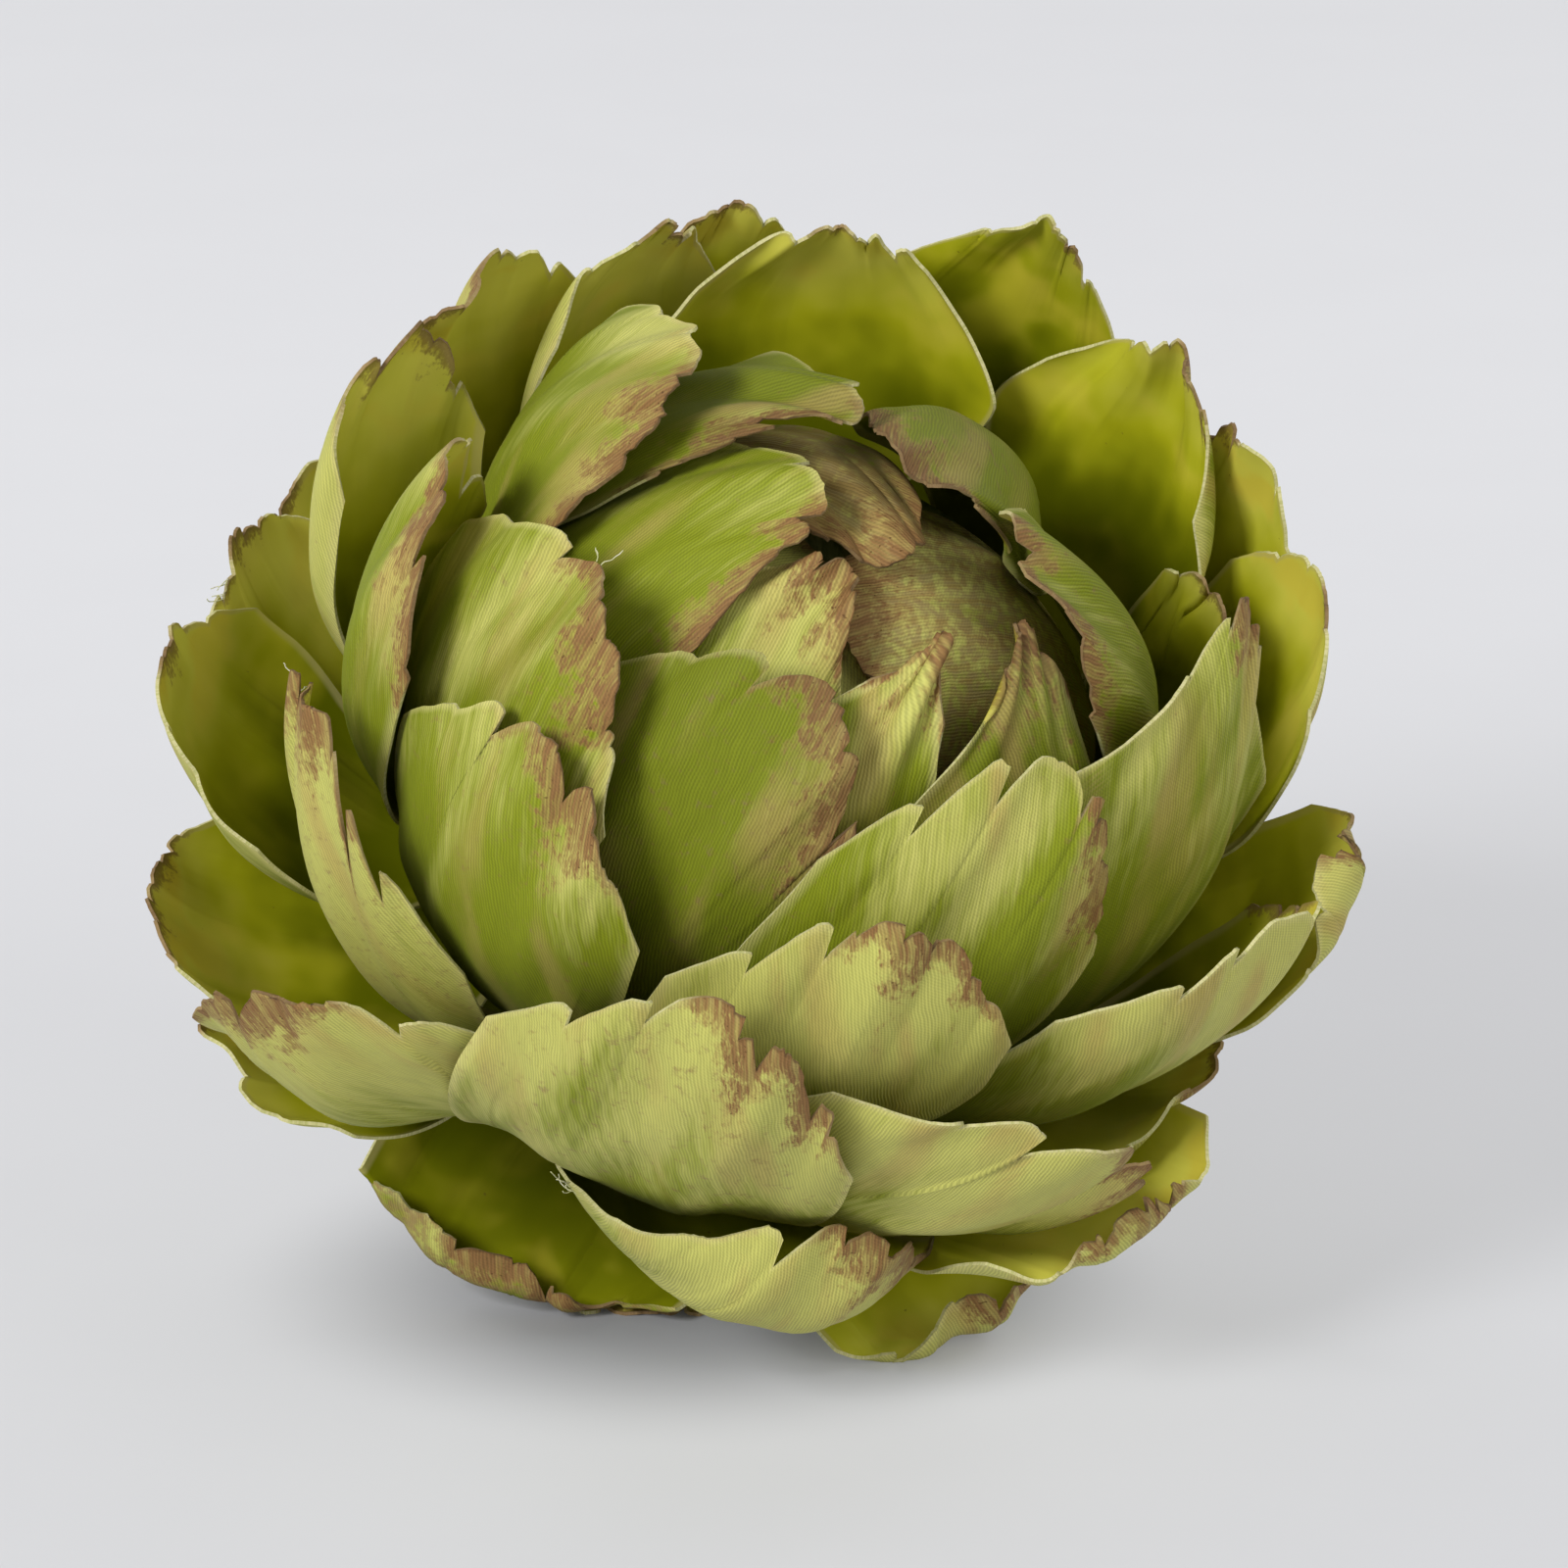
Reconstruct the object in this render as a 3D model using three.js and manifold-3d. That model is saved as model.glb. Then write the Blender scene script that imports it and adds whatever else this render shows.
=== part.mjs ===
// An artichoke head, lying tilted: stiff cloth leaves with cut teeth, in rows from a closed bud out
// to a loose skirt, round a solid heart with a short cut stem. It rests on its lowest leaves.
// Millimetres, +Z up, -Y towards the viewer. The surface that it lies on is z = 0.
import * as THREE from "three";
import { mergeVertices } from "three/addons/utils/BufferGeometryUtils.js";
import Module from "manifold-3d";

// ---- Driving dimensions ----
const HEART_CENTRE = new THREE.Vector3(0.75, 1.96, 57);
const HEAD_AXIS = new THREE.Vector3(0.17, -0.717, 0.676).normalize(); // stem to bud
const HEART = { towardBud: 38, towardStem: 36, side: 33 };
const STEM = { radius: 9, length: 12 };
const BLADE = 0.8; // thickness of a leaf
const ROOT_GAP = 1.0; // from the heart to the middle of a leaf's root
const ROOT_WIDTH = 0.3; // share of a leaf's full width that its root has
const LEAF_GAP = 1.35; // between the middles of two leaves that lie on each other
const TABLE_GAP = BLADE / 2; // from the table to the middle of a leaf that is pressed on it
const TRIM_GAP = 0.35; // clearance where a leaf is cut to pass its neighbour

// A leaf's surface is a grid: rows from root to tip, columns from edge to edge.
const ROWS = [0, 0.25, 0.5, 0.72, 0.88, 1];
const NOTCH = 0.03; // half of a notch's width, as a share of half the leaf

// ---- Colours ----
const LEAF_GREEN = new THREE.MeshStandardMaterial({ color: 0xa3a35c, roughness: 0.8 });
const BACK_GREEN = new THREE.MeshStandardMaterial({ color: 0x8f9450, roughness: 0.8 });
const HEART_GREEN = new THREE.MeshStandardMaterial({ color: 0x7f8a4c, roughness: 0.9 });

// ---- Directions from the heart's centre ----
// Turn goes round the head axis from straight below it; polar goes from the bud to the stem.
const TILT = THREE.MathUtils.degToRad(18);
const LOOK_UP = new THREE.Vector3(0, Math.sin(TILT), Math.cos(TILT));
const BELOW = LOOK_UP.clone().negate().addScaledVector(HEAD_AXIS, LOOK_UP.dot(HEAD_AXIS)).normalize();
const BESIDE = HEAD_AXIS.clone().cross(BELOW);

function direction(turn, polar) {
  const t = THREE.MathUtils.degToRad(turn);
  const p = THREE.MathUtils.degToRad(polar);
  return HEAD_AXIS.clone()
    .multiplyScalar(Math.cos(p))
    .addScaledVector(BELOW, Math.sin(p) * Math.cos(t))
    .addScaledVector(BESIDE, Math.sin(p) * Math.sin(t));
}

function heartRadius(cosPolar) {
  const along = cosPolar > 0 ? HEART.towardBud : HEART.towardStem;
  return 1 / Math.sqrt((cosPolar / along) ** 2 + (1 - cosPolar ** 2) / HEART.side ** 2);
}

// ---- Small helpers ----
function smooth(x) {
  const t = THREE.MathUtils.clamp(x, 0, 1);
  return t * t * (3 - 2 * t);
}

// A seeded draw between 0 and 1 for leaf a, use b.
function draw(a, b) {
  const x = Math.sin(a * 12.9898 + b * 78.233) * 43758.5453;
  return x - Math.floor(x);
}

// ---- The leaves ----
// tip: turn, polar and distance from the heart's centre. root: turn and polar. Angles in degrees.
// rise and fall are how far the midrib bows out at its two ends. cup is how far the blade bends
// round from edge to edge, roll turns it about its midrib, and tipBend folds its end inwards.
// arch rounds the end off towards both edges, slant cuts it lower on the right, and tooth is how
// deep its teeth are. arch, slant and tooth are shares of the leaf's length.
const PLAIN = {
  rise: 38,
  fall: 38,
  tipWidth: 1,
  arch: 0.3,
  slant: 0,
  tooth: 0.045,
  roll: 0,
  curlLeft: 0,
  curlRight: 0,
  tipBend: 0,
  bendFrom: 0.62,
};

function leaf(name, tip, root, width, cup, extra = {}) {
  return { name, tip, root, width, cup, ...PLAIN, ...extra };
}

// Leaves whose ends lie down on the table.
const SPREAD = { rise: 25, fall: 15, arch: 0.15, tipBend: 60, bendFrom: 0.75 };

// From the inside out: a leaf lies outside every leaf listed before it.
const SHOWN_LEAVES = [
  leaf("bud_1", [180, 4, 39], [330, 60], 26, 100, { rise: 40, fall: 50, tooth: 0 }),
  leaf("bud_2", [100, 2, 39], [250, 60], 26, 100, { rise: 40, fall: 50, tooth: 0 }),
  leaf("bud_3", [165, 5, 42], [85, 66], 38, 120, { rise: 42, fall: 48, tooth: 0 }),
  leaf("bud_4", [118, 9, 46.5], [192, 62], 17, 60, { rise: 40, fall: 36, tooth: 0.02 }),
  leaf("inner_1", [152, 3, 47.5], [306, 64], 38, 80, { rise: 34, fall: 34, tipWidth: 0.4, tooth: 0.02 }),
  leaf("inner_2", [61, 13, 50], [334, 70], 26, 70,
    { rise: 42, fall: 42, tipWidth: 0.12, tooth: 0, arch: 0.15 }),
  leaf("inner_3", [77, 20, 51.5], [17, 76], 30, 70,
    { rise: 47, fall: 46, tipWidth: 0.12, tooth: 0, arch: 0.15 }),
  leaf("inner_4", [153, 15, 53], [136, 80], 30, 150, { rise: 55, fall: 35, tipWidth: 0.7, tooth: 0.02 }),
  leaf("inner_5", [111, 19.5, 52], [86, 76], 33, 165,
    { rise: 52, fall: 45, tipWidth: 0.8, tooth: 0.02, roll: -28 }),
  leaf("inner_6", [188, 10, 51], [262, 76], 34, 80, { tipWidth: 0.7, tooth: 0.025 }),
  leaf("inner_7", [171, 19, 54], [228, 82], 28, 80, { rise: 45, fall: 45, tipWidth: 0.6 }),
  leaf("middle_1", [347, 14, 53], [312, 84], 36, 60, { tooth: 0.055 }),
  leaf("middle_2", [210.5, 27, 57], [240, 90], 31, 60, { roll: -12 }),
  leaf("middle_3", [273, 25, 57], [287, 88], 40, 60),
  leaf("middle_4", [297.5, 35.5, 57], [308, 98], 37, 70, { tooth: 0.05 }),
  leaf("middle_5", [101, 58, 51.5], [98, 98], 22, 60),
  leaf("middle_6", [90, 41, 61], [19, 92], 48, 60, { tipWidth: 0.3, tooth: 0.025 }),
  leaf("middle_7", [46, 29, 56], [348, 97], 35, 60, { tooth: 0.06 }),
  leaf("middle_8", [57, 57, 64], [28, 108], 44, 110),
  leaf("middle_9", [5, 37, 58], [350, 100], 38, 60, { tooth: 0.06 }),
  leaf("middle_10", [247, 40, 61], [270, 96], 34, 140, { tooth: 0.06, roll: 25 }),
  leaf("outer_1", [29, 65.5, 62.5], [343, 112], 50, 80, { rise: 44, tooth: 0.07 }),
  leaf("outer_2", [279, 55, 61], [313, 108], 26, 110, { rise: 52, tooth: 0.09, slant: 0.22 }),
  leaf("outer_3", [304, 69, 62], [327, 112], 40, 90, { rise: 45, tooth: 0.07, slant: 0.15, roll: -35 }),
  leaf("outer_4", [342, 46, 61], [335, 122], 42, 60, { rise: 58, fall: 44, tooth: 0.06 }),
  leaf("outer_5", [171, 56, 58.5], [170, 92], 42, 100, { tipWidth: 0.35, arch: 0.12 }),
  leaf("outer_6", [192, 58, 59], [205, 104], 30, 90, { tipWidth: 0.6, curlRight: -30 }),
  leaf("outer_7", [131, 57, 62], [122, 96], 36, 90, { tipWidth: 0.45, curlLeft: -40 }),
  leaf("outer_8", [226, 58, 61], [250, 102], 28, 100, { roll: 30, curlRight: -60 }),
  leaf("outer_9", [98, 58, 62.5], [90, 104], 30, 80),
  leaf("outer_10", [70, 66, 65.5], [66, 116], 30, 80, { tipBend: 80, bendFrom: 0.82 }),
  leaf("outer_11", [262, 80, 64], [273, 112], 38, 90),
  leaf("outer_12", [149, 56, 65.5], [152, 102], 30, 70, { tipWidth: 0.5 }),
  leaf("outer_13", [182, 62, 60], [187, 114], 30, 60, { tipWidth: 0.6 }),
  leaf("outer_14", [213, 60, 61], [220, 112], 32, 60),
  leaf("outer_15", [116, 60, 61.5], [112, 117], 27, 60),
  leaf("outer_16", [281, 92, 64], [290, 124], 34, 90, { curlRight: -40 }),
  leaf("outer_17", [4, 84, 64], [335, 130], 44, 90, { tooth: 0.06, tipBend: 60, bendFrom: 0.5 }),
  leaf("outer_18", [50, 82, 54.5], [48, 120], 26, 60),
  leaf("outer_19", [34, 84, 65.5], [33, 132], 33, 80,
    { rise: 25, fall: 10, arch: 0.2, tipBend: 90, bendFrom: 0.82 }),
  leaf("outer_20", [242, 88, 59.5], [250, 118], 28, 60),
  leaf("outer_21", [292, 100, 61.5], [298, 130], 28, 60),
  leaf("low_1", [328, 130, 69.5], [330, 160], 42, 80,
    { rise: 30, fall: 20, arch: 0.15, slant: 0.1, tipBend: 115, bendFrom: 0.7 }),
  leaf("low_2", [25, 114, 66.8], [18, 148], 31, 80,
    { rise: 30, fall: 20, arch: 0.2, tipBend: 105, bendFrom: 0.72 }),
];

// The leaves behind and under the head stand in rings, each with a little play.
function ring(row, first, count, turn, step, tipPolar, rootPolar, extra) {
  return Array.from({ length: count }, (_, k) => {
    const at = turn + step * k + 4 * (draw(first + k, 20) - 0.5);
    const polar = tipPolar + 4 * (draw(first + k, 21) - 0.5);
    return leaf(`${row}_${first + k}`, [at, polar, 60], [at, rootPolar], 34, 70, extra);
  });
}

const LEAVES = [
  ...SHOWN_LEAVES,
  ...ring("back", 1, 5, 128, 25.5, 96, 126, {}),
  ...ring("back", 6, 6, 84, 38, 116, 143, { rise: 34, fall: 30 }),
  leaf("base_1", [348, 134, 61.5], [348, 163], 28, 70, SPREAD),
  leaf("base_2", [38, 147, 66], [38, 158], 28, 70, SPREAD),
];

// Where the two cuts on each side of a leaf's end fall, as shares of half its width.
function notches(index, side) {
  return [0.3 + 0.08 * (draw(index, 2 + side) - 0.5), 0.63 + 0.1 * (draw(index, 6 + side) - 0.5)];
}

function columns(index) {
  const besideNotch = (at) => [at - NOTCH, at + NOTCH];
  const left = notches(index, -1).flatMap(besideNotch);
  const right = notches(index, 1).flatMap(besideNotch);
  return [-1, ...left.map((u) => -u).reverse(), 0, ...right, 1];
}

// The share of the midrib's length that the blade reaches at u, from -1 at one edge to 1.
const ARCH_POWER = 2.2;
const LEAST_TOOTH = 0.3;
const TOOTH_PLAY = 1.5;

function reach(shape, index, u) {
  const side = u < 0 ? -1 : 1;
  const cuts = [0, ...notches(index, side)];
  let end = 1 - shape.arch * Math.abs(u) ** ARCH_POWER - shape.slant * u;
  for (let k = 0; k < 2; k++) {
    if (Math.abs(u) > cuts[k] && Math.abs(u) < cuts[k + 1]) {
      const depth = shape.tooth * (LEAST_TOOTH + TOOTH_PLAY * draw(index, 10 + 3 * side + k));
      end -= (depth * (Math.abs(u) - cuts[k])) / (cuts[k + 1] - cuts[k]);
    }
  }
  return end;
}

// The midrib is one cubic curve from the heart to the tip, bent inwards past bendFrom.
const MIDRIB_STEPS = 80;
const HANDLE = 0.36; // length of the curve's handles, as a share of root to tip

function midribOf(shape) {
  const rootPolar = Math.cos(THREE.MathUtils.degToRad(shape.root[1]));
  const root = direction(shape.root[0], shape.root[1]).multiplyScalar(heartRadius(rootPolar) + ROOT_GAP);
  const tip = direction(shape.tip[0], shape.tip[1]).multiplyScalar(shape.tip[2]);
  const length = root.distanceTo(tip);
  const chord = tip.clone().sub(root).normalize();
  const outward = root.clone().add(tip);
  outward.addScaledVector(chord, -outward.dot(chord)).normalize();
  const handle = (angle, sign) => {
    const a = THREE.MathUtils.degToRad(angle);
    return chord.clone().multiplyScalar(sign * Math.cos(a)).addScaledVector(outward, Math.sin(a))
      .multiplyScalar(length * HANDLE);
  };
  const curve = new THREE.CubicBezierCurve3(
    root, root.clone().add(handle(shape.rise, 1)), tip.clone().add(handle(shape.fall, -1)), tip);
  const straight = Array.from({ length: MIDRIB_STEPS + 1 }, (_, k) => curve.getPoint(k / MIDRIB_STEPS));
  const lengths = straight.slice(1).map((p, k) => p.distanceTo(straight[k]));
  const total = lengths.reduce((sum, l) => sum + l, 0);
  const points = [straight[0].clone()];
  const share = [0];
  lengths.forEach((stepLength, k) => {
    const done = share[k] + stepLength / total;
    const bent = smooth((done - shape.bendFrom) / (1 - shape.bendFrom));
    const bend = -THREE.MathUtils.degToRad(shape.tipBend) * bent;
    const step = straight[k + 1].clone().sub(straight[k]);
    const along = step.dot(chord);
    const out = step.dot(outward);
    points.push(points[k].clone()
      .addScaledVector(chord, along * Math.cos(bend) - out * Math.sin(bend))
      .addScaledVector(outward, along * Math.sin(bend) + out * Math.cos(bend)));
    share.push(done);
  });
  const last = points.length - 1;
  const tangents = points.map((_, k) => {
    const before = points[Math.max(k - 1, 0)];
    const after = points[Math.min(k + 1, last)];
    return after.clone().sub(before).divideScalar(k === 0 || k === last ? 1 : 2);
  });
  return { points, tangents, share, side: chord.clone().cross(outward) };
}

function between(list, share, v) {
  let k = 1;
  while (k < share.length - 1 && share[k] < v) k++;
  const t = THREE.MathUtils.clamp((v - share[k - 1]) / (share[k] - share[k - 1]), 0, 1);
  return list[k - 1].clone().lerp(list[k], t);
}

// The middle surface of a leaf: a list of rows, each a list of points. A blade is full from
// FULL_FROM of its length, and narrows a little towards its end. A low ripple runs across it.
const ACROSS_STEPS = 12;
const FULL_FROM = 0.55;
const SHOULDER_POWER = 0.9;
const TIP_NARROWING = 0.05;
const RIPPLE = { height: 0.6, pitch: 9 };
const CURLED_FROM = 0.6; // share of the length by which an edge is fully curled

function surfaceOf(shape, index) {
  const { points, tangents, share, side } = midribOf(shape);
  const halfCup = THREE.MathUtils.degToRad(shape.cup) / 2;
  return ROWS.map((row) => columns(index).map((u) => {
    const v = Math.min(row * reach(shape, index, u), 1);
    const tangent = between(tangents, share, v).normalize();
    const opened = Math.sin((Math.PI / 2) * Math.min(v / FULL_FROM, 1)) ** SHOULDER_POWER;
    const outer = smooth((v - 0.5) / 0.5);
    const narrowed = (1 - TIP_NARROWING * outer) * (1 - (1 - shape.tipWidth) * outer);
    const f = (ROOT_WIDTH + (1 - ROOT_WIDTH) * opened) * narrowed;
    const half = (shape.width / 2) * f;
    const curl = THREE.MathUtils.degToRad(u > 0 ? shape.curlRight : shape.curlLeft);
    let across = 0;
    let up = 0;
    for (let k = 0; k < ACROSS_STEPS; k++) {
      const um = (Math.abs(u) * (k + 0.5)) / ACROSS_STEPS;
      const angle = halfCup * um * f - curl * smooth((um - 0.5) / 0.5) * smooth(v / CURLED_FROM);
      across += ((half * Math.abs(u)) / ACROSS_STEPS) * Math.cos(angle);
      up -= ((half * Math.abs(u)) / ACROSS_STEPS) * Math.sin(angle);
    }
    up += RIPPLE.height * Math.sin(u * RIPPLE.pitch + index) * v ** 3;
    const outward = side.clone().cross(tangent).normalize();
    const turned = THREE.MathUtils.degToRad(shape.roll) * smooth(v / 0.5);
    const acrossWay = side.clone().multiplyScalar(Math.cos(turned)).addScaledVector(outward, Math.sin(turned));
    const upWay = outward.clone().multiplyScalar(Math.cos(turned)).addScaledVector(side, -Math.sin(turned));
    return between(points, share, v)
      .addScaledVector(acrossWay, across * Math.sign(u))
      .addScaledVector(upWay, up)
      .add(HEART_CENTRE);
  }));
}

// Outward normals of a grid of points.
function normalsOf(grid) {
  const lastRow = grid.length - 1;
  const lastColumn = grid[0].length - 1;
  return grid.map((row, i) => row.map((_, j) => {
    const acrossWay = row[Math.min(j + 1, lastColumn)].clone().sub(row[Math.max(j - 1, 0)]);
    const alongWay = grid[Math.min(i + 1, lastRow)][j].clone().sub(grid[Math.max(i - 1, 0)][j]);
    return acrossWay.cross(alongWay).normalize();
  }));
}

// ---- Easing the leaves off each other ----
const SETTLE_STEPS = 36;
const DEEPEST = 6; // a leaf further inside another than this is on its other side
const NEAR = 3.6; // how far across its face a leaf feels its neighbour
const FADE = 1.5; // the push fades over the last of that distance
const OUTER_GIVES = 0.45; // shares of the overlap that the two leaves give way by in one step
const INNER_GIVES = 0.4;
const ROOT_HOLD = 0.2; // share of a move that a leaf makes at its root

// The point of a sheet nearest to p: its number, its height of p along the normal, and how far
// p lies off to the side.
function nearest(sheet, p) {
  let k = 0;
  let least = Infinity;
  sheet.points.forEach((q, i) => {
    const d = q.distanceToSquared(p);
    if (d < least) {
      least = d;
      k = i;
    }
  });
  const height = p.clone().sub(sheet.points[k]).dot(sheet.normals[k]);
  return { k, height, aside: Math.sqrt(Math.max(least - height * height, 0)) };
}

// Adds to push the way that two leaves must move to lie LEAF_GAP apart. way is 1 where the points
// of the outer leaf are set against the inner one's face, and -1 the other way round.
function pushApart(face, other, push, way) {
  other.points.forEach((p, b) => {
    const { k, height, aside } = nearest(face, p);
    const room = height * way;
    if (aside >= NEAR || room >= LEAF_GAP || room <= -DEEPEST) return;
    const amount = way * (LEAF_GAP - room) * THREE.MathUtils.clamp((NEAR - aside) / FADE, 0, 1);
    push[other.index][b].move.addScaledVector(face.normals[k], OUTER_GIVES * amount);
    push[other.index][b].count++;
    push[face.index][k].move.addScaledVector(face.normals[k], -INNER_GIVES * amount);
    push[face.index][k].count++;
  });
}

// Spreads each row's or column's moves over its neighbours.
function spread(moves, rows, width, stepOf) {
  return moves.map((move, k) => {
    const { before, after } = stepOf(Math.floor(k / width), k % width, rows, width);
    if (before < 0) return move.clone();
    return moves[before].clone().addScaledVector(move, 2).add(moves[after]).divideScalar(4);
  });
}

const alongRows = (i, j, rows, width) =>
  i > 0 && i < rows - 1 ? { before: (i - 1) * width + j, after: (i + 1) * width + j } : { before: -1 };
const alongColumns = (i, j, rows, width) =>
  j > 0 && j < width - 1 ? { before: i * width + j - 1, after: i * width + j + 1 } : { before: -1 };

// Keeps a point off the heart and above the table.
function keepClear(p) {
  const out = p.clone().sub(HEART_CENTRE);
  const r = out.length();
  const need = heartRadius(out.dot(HEAD_AXIS) / r) + ROOT_GAP;
  if (r < need) p.copy(HEART_CENTRE).addScaledVector(out, need / r);
  p.z = Math.max(p.z, TABLE_GAP);
}

function settle(grids) {
  const rows = ROWS.length;
  const width = grids[0][0].length;
  for (let step = 0; step < SETTLE_STEPS; step++) {
    const sheets = grids.map((grid, index) => ({
      index,
      points: grid.flat(),
      normals: normalsOf(grid).flat(),
      box: new THREE.Box3().setFromPoints(grid.flat()).expandByScalar(NEAR),
    }));
    const push = sheets.map((s) => s.points.map(() => ({ move: new THREE.Vector3(), count: 0 })));
    sheets.forEach((inner, i) => sheets.slice(i + 1).forEach((outer) => {
      if (!inner.box.intersectsBox(outer.box)) return;
      pushApart(inner, outer, push, 1);
      pushApart(outer, inner, push, -1);
    }));
    grids.forEach((grid, g) => {
      const moves = push[g].map(({ move, count }, k) => {
        const free = smooth(ROWS[Math.floor(k / width)] / 0.5);
        const hold = ROOT_HOLD + (1 - ROOT_HOLD) * free;
        return move.multiplyScalar(hold / Math.max(count, 1));
      });
      const even = spread(spread(moves, rows, width, alongRows), rows, width, alongColumns);
      grid.flat().forEach((p, k) => {
        p.addScaledVector(moves[k], 0.5).addScaledVector(even[k], 0.5);
        keepClear(p);
      });
    });
  }
  return grids;
}

// ---- Solids ----
const wasm = await Module();
wasm.setup();

function solidOf(geometry) {
  geometry.deleteAttribute("normal");
  geometry.deleteAttribute("uv");
  const merged = mergeVertices(geometry, 1e-4);
  return new wasm.Manifold(new wasm.Mesh({
    numProp: 3,
    vertProperties: new Float32Array(merged.attributes.position.array),
    triVerts: new Uint32Array(merged.index.array),
  }));
}

function geometryOf(solid) {
  const mesh = solid.getMesh();
  return new THREE.BufferGeometry()
    .setAttribute("position", new THREE.BufferAttribute(mesh.vertProperties, 3))
    .setIndex(new THREE.BufferAttribute(mesh.triVerts, 1));
}

// A blade of the given half thickness on both sides of a grid, its border moved out by grow.
// Both faces are split along the same diagonals. A part pressed on the table is flat below.
const PRESSED = 0.05; // a point this near to TABLE_GAP lies on the table

function bladeGeometry(grid, half, grow = 0) {
  const rows = grid.length;
  const width = grid[0].length;
  const normals = normalsOf(grid);
  const positions = [];
  for (const sign of [1, -1]) {
    grid.forEach((row, i) => row.forEach((point, j) => {
      const p = point.clone();
      if (grow > 0) {
        const inner = grid[THREE.MathUtils.clamp(i, 1, rows - 2)][THREE.MathUtils.clamp(j, 1, width - 2)];
        const out = p.clone().sub(inner);
        if (out.length() > 0) p.addScaledVector(out.normalize(), grow);
      }
      p.addScaledVector(normals[i][j], sign * half);
      if (grow === 0 && point.z < TABLE_GAP + PRESSED) p.z = sign * normals[i][j].z < 0 ? 0 : BLADE;
      positions.push(p.x, p.y, p.z);
    }));
  }
  const at = (i, j) => i * width + j;
  const other = rows * width;
  const faces = [];
  for (let i = 0; i < rows - 1; i++) {
    for (let j = 0; j < width - 1; j++) {
      const [a, b, c, d] = [at(i, j), at(i, j + 1), at(i + 1, j + 1), at(i + 1, j)];
      faces.push(a, b, c, a, c, d);
      faces.push(a + other, c + other, b + other, a + other, d + other, c + other);
    }
  }
  const rim = [
    ...Array.from({ length: width - 1 }, (_, j) => at(0, j)),
    ...Array.from({ length: rows - 1 }, (_, i) => at(i, width - 1)),
    ...Array.from({ length: width - 1 }, (_, j) => at(rows - 1, width - 1 - j)),
    ...Array.from({ length: rows - 1 }, (_, i) => at(rows - 1 - i, 0)),
  ];
  rim.forEach((p, k) => {
    const q = rim[(k + 1) % rim.length];
    faces.push(p, p + other, q + other, p, q + other, q);
  });
  return new THREE.BufferGeometry()
    .setAttribute("position", new THREE.Float32BufferAttribute(positions, 3))
    .setIndex(faces);
}

function largestBody(solid) {
  return solid.decompose().reduce((best, body) => (body.volume() > best.volume() ? body : best));
}

// Cuts each leaf clear of the leaves inside it, where the two still meet.
const TOUCH_VOLUME = 1e-4; // cubic millimetres, less than which is no meeting

function trimmed(grids) {
  const solids = grids.map((grid) => solidOf(bladeGeometry(grid, BLADE / 2)));
  const boxes = grids.map((grid) =>
    new THREE.Box3().setFromPoints(grid.flat()).expandByScalar(BLADE + TRIM_GAP));
  for (let outer = 1; outer < solids.length; outer++) {
    for (let inner = 0; inner < outer; inner++) {
      if (!boxes[inner].intersectsBox(boxes[outer])) continue;
      if (solids[inner].intersect(solids[outer]).volume() < TOUCH_VOLUME) continue;
      const room = solidOf(bladeGeometry(grids[inner], BLADE / 2 + TRIM_GAP, TRIM_GAP));
      solids[outer] = largestBody(solids[outer].subtract(room).subtract(solids[inner]));
    }
  }
  return solids;
}

// ---- The heart and its cut stem, turned as one piece ----
const HEART_RINGS = 14;
const HEART_SEGMENTS = 24;

function heartGeometry() {
  const start = Math.acos(-Math.sqrt(1 - (STEM.radius / HEART.side) ** 2));
  const profile = [
    new THREE.Vector2(0, -HEART.towardStem - STEM.length),
    new THREE.Vector2(STEM.radius, -HEART.towardStem - STEM.length),
  ];
  for (let k = 0; k <= HEART_RINGS; k++) {
    const polar = start * (1 - k / HEART_RINGS);
    const along = polar > Math.PI / 2 ? HEART.towardStem : HEART.towardBud;
    const out = k === HEART_RINGS ? 0 : HEART.side * Math.sin(polar);
    profile.push(new THREE.Vector2(out, along * Math.cos(polar)));
  }
  const geometry = new THREE.LatheGeometry(profile, HEART_SEGMENTS);
  geometry.deleteAttribute("normal");
  geometry.deleteAttribute("uv");
  return mergeVertices(geometry, 1e-4);
}

// ---- The artichoke ----
const artichoke = new THREE.Group();
const heart = new THREE.Mesh(heartGeometry(), HEART_GREEN);
heart.name = "heart";
heart.quaternion.setFromUnitVectors(new THREE.Vector3(0, 1, 0), HEAD_AXIS);
heart.position.copy(HEART_CENTRE);
artichoke.add(heart);

const surfaces = settle(LEAVES.map(surfaceOf));
trimmed(surfaces).forEach((solid, k) => {
  const { name } = LEAVES[k];
  const mesh = new THREE.Mesh(geometryOf(solid), name.startsWith("back") ? BACK_GREEN : LEAF_GREEN);
  mesh.name = `leaf_${name}`;
  artichoke.add(mesh);
});

export default artichoke;
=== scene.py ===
# %% [markdown]
# # An artichoke made of cloth
# This head of stiff cloth leaves lies tilted on its lowest leaves. Each leaf is a cut piece of
# ribbed fabric, dyed green and touched with brown along its toothed end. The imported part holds
# the same leaves as plain blades. Here they are built again from the same sizes, with far more
# points, thin cloth, frayed cuts and dyed fabric.

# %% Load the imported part
import math

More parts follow.
